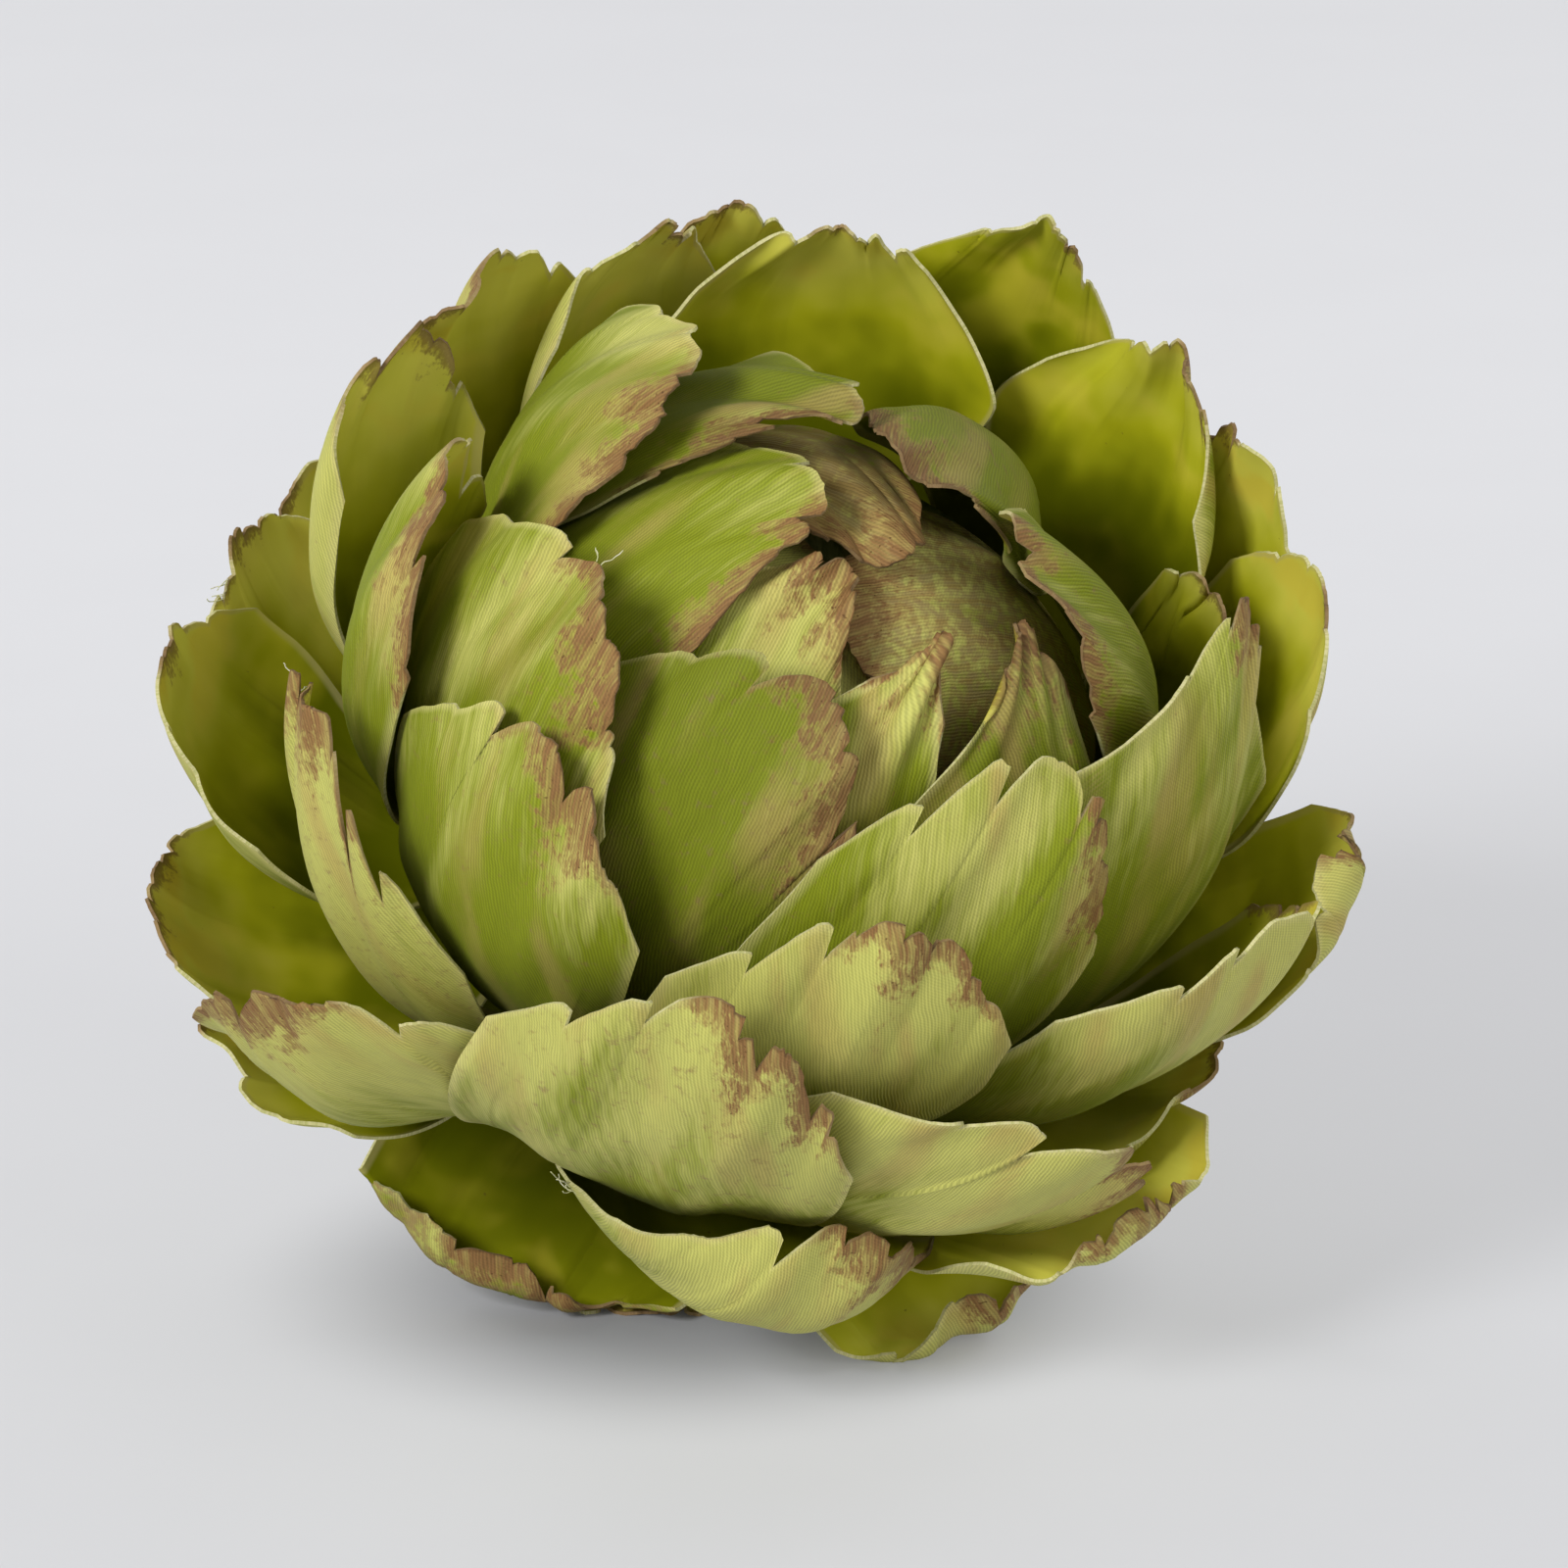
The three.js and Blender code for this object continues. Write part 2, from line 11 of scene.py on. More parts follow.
import bmesh
import bpy
import numpy as np
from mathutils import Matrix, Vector


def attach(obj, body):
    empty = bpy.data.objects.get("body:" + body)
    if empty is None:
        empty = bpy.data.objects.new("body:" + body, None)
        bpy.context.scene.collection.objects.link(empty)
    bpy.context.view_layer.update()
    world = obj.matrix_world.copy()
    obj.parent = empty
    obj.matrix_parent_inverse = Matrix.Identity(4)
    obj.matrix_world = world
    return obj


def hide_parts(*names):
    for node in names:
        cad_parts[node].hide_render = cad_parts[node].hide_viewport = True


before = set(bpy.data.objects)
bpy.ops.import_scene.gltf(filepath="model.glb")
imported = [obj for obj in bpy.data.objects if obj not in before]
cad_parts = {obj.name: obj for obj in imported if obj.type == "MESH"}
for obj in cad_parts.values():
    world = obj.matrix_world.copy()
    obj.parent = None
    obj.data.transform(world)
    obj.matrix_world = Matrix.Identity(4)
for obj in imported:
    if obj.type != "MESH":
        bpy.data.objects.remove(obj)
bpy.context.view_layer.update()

MM = 0.001

# %% [markdown]
# A head of leaves is easiest to describe from its own middle. Every direction is given by two
# angles: turn goes round the head's axis from straight below it, and polar goes from the bud (0)
# to the stem (180). The whole head leans towards the viewer, so its axis isn't vertical.

# %% Directions from the heart
HEART_CENTRE = np.array([0.75, 1.96, 57.0])
HEART = {"toward_bud": 38.0, "toward_stem": 36.0, "side": 33.0}
STEM_RADIUS, STEM_LENGTH = 9.0, 12.0
LOOK_DOWN = math.radians(18)
LOOK_UP = np.array([0, math.sin(LOOK_DOWN), math.cos(LOOK_DOWN)])
TO_VIEWER = np.array([0, -math.cos(LOOK_DOWN), math.sin(LOOK_DOWN)])
HEAD_AXIS = np.array([0.17, -0.717, 0.676])
HEAD_AXIS /= np.linalg.norm(HEAD_AXIS)
BELOW = -LOOK_UP + LOOK_UP.dot(HEAD_AXIS) * HEAD_AXIS
BELOW /= np.linalg.norm(BELOW)
BESIDE = np.cross(HEAD_AXIS, BELOW)


def direction(turn, polar):
    t, p = math.radians(turn), math.radians(polar)
    return math.cos(p) * HEAD_AXIS + math.sin(p) * (math.cos(t) * BELOW + math.sin(t) * BESIDE)


def heart_radius(cos_polar):
    along = np.where(cos_polar > 0, HEART["toward_bud"], HEART["toward_stem"])
    return 1 / np.sqrt((cos_polar / along) ** 2 + (1 - cos_polar**2) / HEART["side"] ** 2)


print("the head leans", round(math.degrees(math.acos(HEAD_AXIS[2]))), "degrees from upright")

# %% [markdown]
# The camera looks down 18 degrees with a long lens, so that the leaves keep their proportions. It
# comes early, because everything else is judged through it.

# %% Camera
LENS, SENSOR, CAMERA_AWAY = 180.0, 36.0, 800.0
AIM_ASIDE, AIM_ABOVE = 2.5, 1.0
NEAREST, FARTHEST = 0.05, 20


def put(name, data):
    """A new object in the scene."""
    thing = bpy.data.objects.new(name, data)
    bpy.context.scene.collection.objects.link(thing)
    return thing


aim = HEART_CENTRE + np.array([AIM_ASIDE, 0, 0]) + AIM_ABOVE * LOOK_UP
camera = put("camera", bpy.data.cameras.new("camera"))
camera.data.lens, camera.data.sensor_width = LENS, SENSOR
camera.data.clip_start, camera.data.clip_end = NEAREST, FARTHEST
camera.location = Vector((aim + CAMERA_AWAY * TO_VIEWER) * MM)
camera.rotation_euler = Vector(-TO_VIEWER).to_track_quat("-Z", "Y").to_euler()
bpy.context.scene.camera = camera
print("the frame is", round(CAMERA_AWAY * SENSOR / LENS), "mm wide at the heart")

# %% [markdown]
# Small helpers come next. A smooth step eases things in and out. A draw is a number between 0 and
# 1 that looks random but depends only on its two seeds, so every run gives the same leaves.

# %% Small helpers
def smooth(x):
    x = np.clip(x, 0, 1)
    return x * x * (3 - 2 * x)


def draw(a, b):
    x = math.sin(a * 12.9898 + b * 78.233) * 43758.5453
    return x - math.floor(x)


def unit(v):
    return v / np.maximum(np.linalg.norm(v, axis=-1), 1e-9)[..., None]


def sheet_normals(grid):
    """Outward normals of a grid of points, rows from root to tip."""
    across = np.concatenate([grid[:, 1:], grid[:, -1:]], 1) - np.concatenate([grid[:, :1], grid[:, :-1]], 1)
    along = np.concatenate([grid[1:], grid[-1:]], 0) - np.concatenate([grid[:1], grid[:-1]], 0)
    return unit(np.cross(across, along))


print("draws:", [round(draw(k, 1), 3) for k in range(4)])

# %% [markdown]
# Each leaf has one line of sizes. tip is the turn, polar angle and distance of its end, root the
# turn and polar angle where it leaves the heart, and then come its width and cup, the angle that
# the blade bends through from edge to edge. rise and fall bow the midrib, roll turns the blade
# about it, and tip_bend folds the end inwards. The list runs from the inside out.

# %% The leaves
PLAIN = dict(rise=38, fall=38, tip_width=1, arch=0.3, slant=0, tooth=0.045, roll=0,
             curl_left=0, curl_right=0, tip_bend=0, bend_from=0.62)
SPREAD = dict(rise=25, fall=15, arch=0.15, tip_bend=60, bend_from=0.75)
HIDDEN_AWAY, HIDDEN_WIDTH, HIDDEN_CUP, HIDDEN_PLAY = 60, 34, 70, 4


def leaf(name, tip, root, width, cup, **extra):
    return {"name": name, "tip": tip, "root": root, "width": width, "cup": cup, **PLAIN, **extra}


def ring(first, count, turn, step, tip_polar, root_polar, **extra):
    """Leaves behind and under the head, with a little play in where each one stands."""
    made = []
    for k in range(first, first + count):
        at = turn + step * (k - first) + HIDDEN_PLAY * (draw(k, 20) - 0.5)
        tip = (at, tip_polar + HIDDEN_PLAY * (draw(k, 21) - 0.5), HIDDEN_AWAY)
        made.append(leaf(f"back_{k}", tip, (at, root_polar), HIDDEN_WIDTH, HIDDEN_CUP, **extra))
    return made


LEAVES = [
    leaf("bud_1", (180, 4, 39), (330, 60), 26, 100, rise=40, fall=50, tooth=0),
    leaf("bud_2", (100, 2, 39), (250, 60), 26, 100, rise=40, fall=50, tooth=0),
    leaf("bud_3", (165, 5, 42), (85, 66), 38, 120, rise=42, fall=48, tooth=0),
    leaf("bud_4", (118, 9, 46.5), (192, 62), 17, 60, rise=40, fall=36, tooth=0.02),
    leaf("inner_1", (152, 3, 47.5), (306, 64), 38, 80, rise=34, fall=34, tip_width=0.4, tooth=0.02),
    leaf("inner_2", (61, 13, 50), (334, 70), 26, 70, rise=42, fall=42, tip_width=0.12, tooth=0, arch=0.15),
    leaf("inner_3", (77, 20, 51.5), (17, 76), 30, 70, rise=47, fall=46, tip_width=0.12, tooth=0, arch=0.15),
    leaf("inner_4", (153, 15, 53), (136, 80), 30, 150, rise=55, fall=35, tip_width=0.7, tooth=0.02),
    leaf("inner_5", (111, 19.5, 52), (86, 76), 33, 165,
         rise=52, fall=45, tip_width=0.8, tooth=0.02, roll=-28),
    leaf("inner_6", (188, 10, 51), (262, 76), 34, 80, tip_width=0.7, tooth=0.025),
    leaf("inner_7", (171, 19, 54), (228, 82), 28, 80, rise=45, fall=45, tip_width=0.6),
    leaf("middle_1", (347, 14, 53), (312, 84), 36, 60, tooth=0.055),
    leaf("middle_2", (210.5, 27, 57), (240, 90), 31, 60, roll=-12),
    leaf("middle_3", (273, 25, 57), (287, 88), 40, 60),
    leaf("middle_4", (297.5, 35.5, 57), (308, 98), 37, 70, tooth=0.05),
    leaf("middle_5", (101, 58, 51.5), (98, 98), 22, 60),
    leaf("middle_6", (90, 41, 61), (19, 92), 48, 60, tip_width=0.3, tooth=0.025),
    leaf("middle_7", (46, 29, 56), (348, 97), 35, 60, tooth=0.06),
    leaf("middle_8", (57, 57, 64), (28, 108), 44, 110),
    leaf("middle_9", (5, 37, 58), (350, 100), 38, 60, tooth=0.06),
    leaf("middle_10", (247, 40, 61), (270, 96), 34, 140, tooth=0.06, roll=25),
    leaf("outer_1", (29, 65.5, 62.5), (343, 112), 50, 80, rise=44, tooth=0.07),
    leaf("outer_2", (279, 55, 61), (313, 108), 26, 110, rise=52, tooth=0.09, slant=0.22),
    leaf("outer_3", (304, 69, 62), (327, 112), 40, 90, rise=45, tooth=0.07, slant=0.15, roll=-35),
    leaf("outer_4", (342, 46, 61), (335, 122), 42, 60, rise=58, fall=44, tooth=0.06),
    leaf("outer_5", (171, 56, 58.5), (170, 92), 42, 100, tip_width=0.35, arch=0.12),
    leaf("outer_6", (192, 58, 59), (205, 104), 30, 90, tip_width=0.6, curl_right=-30),
    leaf("outer_7", (131, 57, 62), (122, 96), 36, 90, tip_width=0.45, curl_left=-40),
    leaf("outer_8", (226, 58, 61), (250, 102), 28, 100, roll=30, curl_right=-60),
    leaf("outer_9", (98, 58, 62.5), (90, 104), 30, 80),
    leaf("outer_10", (70, 66, 65.5), (66, 116), 30, 80, tip_bend=80, bend_from=0.82),
    leaf("outer_11", (262, 80, 64), (273, 112), 38, 90),
    leaf("outer_12", (149, 56, 65.5), (152, 102), 30, 70, tip_width=0.5),
    leaf("outer_13", (182, 62, 60), (187, 114), 30, 60, tip_width=0.6),
    leaf("outer_14", (213, 60, 61), (220, 112), 32, 60),
    leaf("outer_15", (116, 60, 61.5), (112, 117), 27, 60),
    leaf("outer_16", (281, 92, 64), (290, 124), 34, 90, curl_right=-40),
    leaf("outer_17", (4, 84, 64), (335, 130), 44, 90, tooth=0.06, tip_bend=60, bend_from=0.5),
    leaf("outer_18", (50, 82, 54.5), (48, 120), 26, 60),
    leaf("outer_19", (34, 84, 65.5), (33, 132), 33, 80,
         rise=25, fall=10, arch=0.2, tip_bend=90, bend_from=0.82),
    leaf("outer_20", (242, 88, 59.5), (250, 118), 28, 60),
    leaf("outer_21", (292, 100, 61.5), (298, 130), 28, 60),
    leaf("low_1", (328, 130, 69.5), (330, 160), 42, 80,
         rise=30, fall=20, arch=0.15, slant=0.1, tip_bend=115, bend_from=0.7),
    leaf("low_2", (25, 114, 66.8), (18, 148), 31, 80,
         rise=30, fall=20, arch=0.2, tip_bend=105, bend_from=0.72),
    *ring(1, 5, 128, 25.5, 96, 126),
    *ring(6, 6, 84, 38, 116, 143, rise=34, fall=30),
    leaf("base_1", (348, 134, 61.5), (348, 163), 28, 70, **SPREAD),
    leaf("base_2", (38, 147, 66), (38, 158), 28, 70, **SPREAD),
]
print(len(LEAVES), "leaves")

# %% [markdown]
# Each leaf was dyed by hand. Tone goes from deep green (0) to pale (1), and a little past both,
# where it is partly painted shade and light: below 0 it darkens a leaf that lies in shadow deep in
# the head, and above 1 it brightens a leaf, most of all the inside of a back leaf that light shines
# through. The brown burst on its end has a place across the leaf (-1 left edge, 1 right edge), a
# spread and a strength, and rust is how much of the leaf is blotched; on the inside rust also
# darkens the whole leaf, as painted shade. Leaves that aren't named get a faint burst at a drawn
# place.

# %% How the leaves are dyed, with painted light and shade
DYE_AND_PAINTED_LIGHT = {
    "bud_1": (0.9, 0, 0.6, 0.9, 0.4), "bud_2": (0.8, 0, 0.6, 0.9, 0.4),
    "bud_3": (0.9, -0.1, 0.8, 1.0, 1.0), "bud_4": (0.2, 0, 1.2, 1.5, 1.2),
    "inner_1": (0.35, 0.1, 0.5, 1.2, 0), "inner_2": (0.3, 0, 0.9, 1.3, 0),
    "inner_3": (-0.3, 0, 0.9, 1.4, 0.1), "inner_4": (-0.2, 0.2, 0.9, 1.2, 0.3),
    "inner_5": (-0.15, -0.7, 0.5, 1.2, 0.25), "inner_6": (0.0, 0.7, 0.5, 1.2, 0),
    "inner_7": (-0.3, 0.7, 0.5, 1.2, 0.05), "middle_1": (-0.25, 0.5, 0.5, 1.5, 0.3),
    "middle_2": (0.0, 0.55, 0.5, 1.3, 0), "middle_3": (0.15, 0.3, 0.35, 1.4, 0.15),
    "middle_4": (0.15, 0.3, 0.35, 1.4, 0.2), "middle_6": (0.35, 0.1, 0.3, 1.1, 0),
    "middle_7": (-0.05, 0.6, 0.3, 1.2, 0.05), "middle_8": (0.6, 0.8, 0.3, 0.9, 0),
    "middle_9": (0.9, 0.25, 0.4, 1.1, 0), "middle_10": (0.1, 0.7, 0.6, 1.2, 0),
    "outer_1": (0.9, 0.5, 0.35, 1.3, 0), "outer_2": (1.2, -0.4, 0.6, 1.6, 0.35),
    "outer_3": (0.95, -0.5, 0.4, 1.3, 0.05), "outer_4": (0.75, 0.35, 0.35, 1.5, 0.3),
    "outer_5": (0.8, 0.2, 0.3, 0.5, 0), "outer_6": (1.3, 0, 0.3, 0.6, 0),
    "outer_8": (1.1, 0, 0.6, 1.0, 0), "outer_10": (1.2, 0.4, 0.3, 0.8, 0),
    "outer_12": (-0.1, -0.3, 0.3, 0.5, 0.3), "outer_14": (1.2, 0.3, 0.4, 0.7, 0),
    "outer_16": (0.9, -0.2, 0.5, 0.8, 0), "outer_17": (1.0, 0.4, 0.35, 1.8, 0.05),
    "outer_18": (1.3, 0.3, 0.5, 0.8, 0), "outer_19": (1.1, 0, 0.4, 0.9, 0),
    "outer_20": (1.3, 0, 0.4, 0.7, 0), "low_1": (-0.1, 0.1, 0.5, 1.0, 0.9),
    "low_2": (0.7, 0.4, 0.4, 0.9, 0),
}
print(len(DYE_AND_PAINTED_LIGHT), "leaves with a dye of their own")

# %% [markdown]
# A leaf's end is cut in teeth. On the real head a die makes two deep cuts on each side of the
# midrib, finer snips gather where the end is brown, and the cloth frays into small jags. The end
# is described as the share of the midrib's length that the blade reaches at u, which goes from -1
# at one edge to 1 at the other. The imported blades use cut_share alone, and the fine ones add the
# snips and jags.

# %% Toothed ends
def notches(index, side):
    return [0.3 + 0.08 * (draw(index, 2 + side) - 0.5), 0.63 + 0.1 * (draw(index, 6 + side) - 0.5)]


def cut_share(shape, index, u, lobe=1.0):
    """lobe is 1 for straight teeth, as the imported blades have, and more for rounded ones."""
    end = 1 - shape["arch"] * np.abs(u) ** 2.2 - shape["slant"] * u
    for side in (-1, 1):
        cuts = [0, *notches(index, side)]
        for k in range(2):
            inside = (u * side > cuts[k]) & (u * side < cuts[k + 1])
            depth = shape["tooth"] * (0.3 + 1.5 * draw(index, 10 + 3 * side + k))
            along = np.clip((np.abs(u) - cuts[k]) / (cuts[k + 1] - cuts[k]), 0, 1)
            end = np.where(inside, end - depth * along**lobe, end)
    return end


def dye_and_painted_light(shape, index):
    """Tone, brown burst (place, spread, strength) and rust of a leaf; tone and rust also paint light and
    shade.
    """
    plain = (0.35 + 0.3 * draw(index, 89), 1.2 * (draw(index, 90) - 0.5), 0.15 + 0.25 * draw(index, 91),
             0.5 + 0.5 * draw(index, 92), 0.0)
    return DYE_AND_PAINTED_LIGHT.get(shape["name"], plain)


SNIPS, SNIP_STEEP, SHALLOW_SNIP, LAST_SNIP = 5, 0.015, 0.004, 0.95
FINEST_SNIP, SNIP_RANGE, DIE_CUT_WIDTH, POINTED = 0.006, 0.036, 0.1, 0.2


def snips(shape, index):
    """Narrow cuts in a leaf's end: place, depth as a share of the length, width, slanted side."""
    _, burst, spread, _, _ = dye_and_painted_light(shape, index)
    deep = 0.5 * shape["tooth"] + 0.003
    cuts = [(side * c, deep * (0.3 + draw(index, 30 + k + side)), DIE_CUT_WIDTH, side)
            for side in (-1, 1) for k, c in enumerate(notches(index, side))]
    if shape["tip_width"] < POINTED:
        return [(at, SHALLOW_SNIP, width, way) for at, _, width, way in cuts]
    side = 1 if burst > 0 else -1
    for k in range(SNIPS):
        at = burst + max(spread, 0.25) * (0.5 * (k - SNIPS // 2) + 0.4 * (draw(index, 40 + k) - 0.5))
        deep = FINEST_SNIP + SNIP_RANGE * draw(index, 50 + k) ** 1.6
        cuts.append((np.clip(at, -LAST_SNIP, LAST_SNIP), deep, 0.05 + 0.07 * draw(index, 60 + k), side))
    return cuts


def snip_depth(shape, index, u):
    depth = np.zeros_like(u)
    for at, deep, width, way in snips(shape, index):
        away = (u - at) * way
        slope = np.where(away > 0, 1 - away / width, 1 + away / SNIP_STEEP)
        depth = np.maximum(depth, deep * np.clip(slope, 0, 1) ** 1.3)
    jag = np.array([draw(index * 7.3 + k, 70) for k in range(len(u))]) - 0.5
    slow = np.sin(u * (17 + 9 * draw(index, 71)) + 6 * draw(index, 72))
    return depth + (0.005 * jag + 0.003 * slow) * smooth((1.02 - np.abs(u)) / 0.2)


print("leaf 20 is cut at", [round(c[0], 2) for c in snips(LEAVES[20], 20)[:4]])

# %% [markdown]
# The midrib of a leaf is one cubic curve from the heart to the tip, bowed outwards. The blade is
# swept along it: narrow at the root, full from halfway, cupped across, sometimes curled at an
# edge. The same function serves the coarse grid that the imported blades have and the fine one, so
# the two can't drift apart. It also gives each point's place on the flat cloth, for the weave.

# %% The blade of a leaf
ROOT_GAP, ROOT_WIDTH, HANDLE = 1.0, 0.3, 0.36
MIDRIB_STEPS, ACROSS_STEPS = 80, 12
FULL_FROM, TIP_NARROWING, RIPPLE, RIPPLE_PITCH = 0.55, 0.05, 0.6, 9


def midrib(shape):
    root_turn, root_polar = shape["root"]
    reach_out = heart_radius(np.array(math.cos(math.radians(root_polar)))) + ROOT_GAP
    root = direction(root_turn, root_polar) * reach_out
    tip = direction(*shape["tip"][:2]) * shape["tip"][2]
    length = np.linalg.norm(tip - root)
    chord = (tip - root) / length
    outward = root + tip
    outward = unit(outward - outward.dot(chord) * chord)
    rise, fall = math.radians(shape["rise"]), math.radians(shape["fall"])
    one = root + length * HANDLE * (math.cos(rise) * chord + math.sin(rise) * outward)
    two = tip - length * HANDLE * (math.cos(fall) * chord - math.sin(fall) * outward)
    t = np.linspace(0, 1, MIDRIB_STEPS + 1)[:, None]
    line = (1 - t) ** 3 * root + 3 * (1 - t) ** 2 * t * one + 3 * (1 - t) * t**2 * two + t**3 * tip
    steps = np.diff(line, axis=0)
    lengths = np.linalg.norm(steps, axis=1)
    done = np.cumsum(lengths) / lengths.sum()
    bend = -math.radians(shape["tip_bend"]) * smooth((done - shape["bend_from"]) / (1 - shape["bend_from"]))
    along, out = steps @ chord, steps @ outward
    turned = ((along * np.cos(bend) - out * np.sin(bend))[:, None] * chord
              + (along * np.sin(bend) + out * np.cos(bend))[:, None] * outward)
    line = np.concatenate([line[:1], line[:1] + np.cumsum(turned, axis=0)])
    return line, np.concatenate([[0], done]), np.cross(chord, outward), lengths.sum()


def blade(shape, index, u, v):
    """Points of the middle surface for columns u and a grid v of shares of the midrib, and each
    point's place on the flat cloth: millimetres across and along."""
    line, share, side, length = midrib(shape)
    tangents = np.gradient(line, axis=0)
    v = np.minimum(v, 1)
    at = lambda values: np.stack([np.interp(v, share, values[:, k]) for k in range(3)], -1)
    tangent = unit(at(tangents))
    far = smooth((v - 0.5) / 0.5)
    full = ROOT_WIDTH + (1 - ROOT_WIDTH) * np.sin(np.pi / 2 * np.clip(v / FULL_FROM, 0, 1)) ** 0.9
    full = full * (1 - TIP_NARROWING * far) * (1 - (1 - shape["tip_width"]) * far)
    half = shape["width"] / 2 * full
    half_cup = math.radians(shape["cup"]) / 2
    curl = np.radians(np.where(u > 0, shape["curl_right"], shape["curl_left"]))[None]
    across, up = np.zeros_like(v), np.zeros_like(v)
    for k in range(ACROSS_STEPS):
        reached = np.abs(u)[None] * (k + 0.5) / ACROSS_STEPS
        angle = half_cup * reached * full - curl * smooth((reached - 0.5) / 0.5) * smooth(v / 0.6)
        across += half * np.abs(u) / ACROSS_STEPS * np.cos(angle)
        up -= half * np.abs(u) / ACROSS_STEPS * np.sin(angle)
    up += RIPPLE * np.sin(u[None] * RIPPLE_PITCH + index) * v**3
    outward = unit(np.cross(side, tangent))
    roll = (math.radians(shape["roll"]) * smooth(v / 0.5))[..., None]
    across_way = side * np.cos(roll) + outward * np.sin(roll)
    up_way = outward * np.cos(roll) - side * np.sin(roll)
    points = at(line) + across_way * (across * np.sign(u))[..., None] + up_way * up[..., None]
    return points + HEART_CENTRE, np.stack([half * u[None], length * v], -1)


print("a leaf of", LEAVES[20]["name"], "is", round(midrib(LEAVES[20])[3], 1), "mm long")

# %% [markdown]
# Drawn leaves cut through each other where real ones press together. So the leaves are settled:
# in each step every point that is too close to a neighbour's face is pushed out along that face's
# normal, and the neighbour gives way nearly as much. A simulation of cloth could do this too, but
# it is slow and its result can change from one Blender to the next.

# %% Pushing two leaves apart
PUSH_OTHER, PUSH_BACK, PUSH_FADE, SEARCH_ROOM = 0.45, 0.4, 1.5, 0.1


def push_apart(face, face_normals, other, push, way, gap, deepest, near):
    """Moves between the points of one sheet and the face of another, added to push."""
    reach = math.hypot(near, deepest) + SEARCH_ROOM
    low, high = face.min(0) - near, face.max(0) + near
    mine = np.flatnonzero(((other > low) & (other < high)).all(1))
    if not len(mine):
        return
    some = other[mine]
    close = np.flatnonzero(((face > some.min(0) - reach) & (face < some.max(0) + reach)).all(1))
    if not len(close):
        return
    squared = ((some**2).sum(1)[:, None] + (face[close] ** 2).sum(1)[None] - 2 * some @ face[close].T)
    best = squared.argmin(1)
    k = close[best]
    offset = some - face[k]
    height = (offset * face_normals[k]).sum(1)
    aside = np.sqrt(np.maximum((offset**2).sum(1) - height**2, 0))
    room = height * way
    touching = (aside < near) & (room < gap) & (room > -deepest)
    amount = way * (gap - room) * np.clip((near - aside) / PUSH_FADE, 0, 1) * touching
    moves = face_normals[k] * amount[:, None]
    push[0][mine] += PUSH_OTHER * moves
    push[1][mine] += touching
    np.add.at(push[2], k, -PUSH_BACK * moves)
    np.add.at(push[3], k, touching)


print("in one step the other leaf moves", PUSH_OTHER, "of the way and the face", PUSH_BACK)

# %% [markdown]
# One settling is many such steps over all pairs of leaves. Roots are held, because they are glued
# to the heart, and no leaf may sink into the heart or the table. The first settling runs on the
# coarse grid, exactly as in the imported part. A second one follows on a finer grid with a smaller
# gap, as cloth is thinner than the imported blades.

# %% Settling the leaves
ROWS = np.array([0, 0.25, 0.5, 0.72, 0.88, 1])
NOTCH = 0.03
FLOOR_GAP = 0.4


def coarse_columns(index):
    left, right = ([c + s * NOTCH for c in notches(index, way) for s in (-1, 1)] for way in (-1, 1))
    return np.array([-1, *(-c for c in reversed(left)), 0, *right, 1])


def settle(grids, rows, steps, gap, deepest, near, floor_gap, hold=0.2):
    count = len(grids)
    grip = (hold + (1 - hold) * smooth(rows / 0.5))[None, :, None, None]
    for _ in range(steps):
        normals = np.stack([sheet_normals(g) for g in grids]).reshape(count, -1, 3)
        points = grids.reshape(count, -1, 3)
        push, hits = np.zeros_like(points), np.zeros(points.shape[:2])
        low, high = points.min(1) - near, points.max(1) + near
        for i in range(count):
            for j in range(i + 1, count):
                if (low[i] > high[j]).any() or (low[j] > high[i]).any():
                    continue
                push_apart(points[i], normals[i], points[j], (push[j], hits[j], push[i], hits[i]),
                           1, gap, deepest, near)
                push_apart(points[j], normals[j], points[i], (push[i], hits[i], push[j], hits[j]),
                           -1, gap, deepest, near)
        push = (push / np.maximum(hits, 1)[..., None]).reshape(grids.shape) * grip
        even = push.copy()
        even[:, 1:-1] = (push[:, :-2] + 2 * push[:, 1:-1] + push[:, 2:]) / 4
        wide = even.copy()
        wide[:, :, 1:-1] = (even[:, :, :-2] + 2 * even[:, :, 1:-1] + even[:, :, 2:]) / 4
        grids = grids + 0.5 * push + 0.5 * wide
        out = grids - HEART_CENTRE
        radius = np.linalg.norm(out, axis=-1)
        need = heart_radius(out @ HEAD_AXIS / radius) + ROOT_GAP
        grids = HEART_CENTRE + out * np.maximum(1, need / radius)[..., None]
        grids[..., 2] = np.maximum(grids[..., 2], floor_gap)
    return grids


drawn = []
for index, shape in enumerate(LEAVES):
    u = coarse_columns(index)
    drawn.append(blade(shape, index, u, ROWS[:, None] * cut_share(shape, index, u)[None])[0])
drawn = np.stack(drawn)
coarse_moves = settle(drawn, ROWS, steps=36, gap=1.35, deepest=6.0, near=3.6, floor_gap=FLOOR_GAP) - drawn
print("leaves moved by up to", round(float(np.linalg.norm(coarse_moves, axis=-1).max()), 1), "mm")

# %% [markdown]
# Moves made on one grid are carried to another by interpolation. Straight lines between the
# coarse points would leave kinks, so the moves are smoothed after they are spread, and the last
# step up uses a cubic curve through the four nearest points. The slow waves and folds of stiff
# cloth are added before the second settling, so that it keeps them clear of each other too.

# %% From coarse to fine
MID_ROWS, MID_COLUMNS = np.linspace(0, 1, 15), np.linspace(-1, 1, 21)
CLOTH = 0.36
CLOTH_GAP = 0.85


def blur(values, times):
    for _ in range(times):
        values[1:-1] = (values[:-2] + 2 * values[1:-1] + values[2:]) / 4
        values[:, 1:-1] = (values[:, :-2] + 2 * values[:, 1:-1] + values[:, 2:]) / 4
    return values


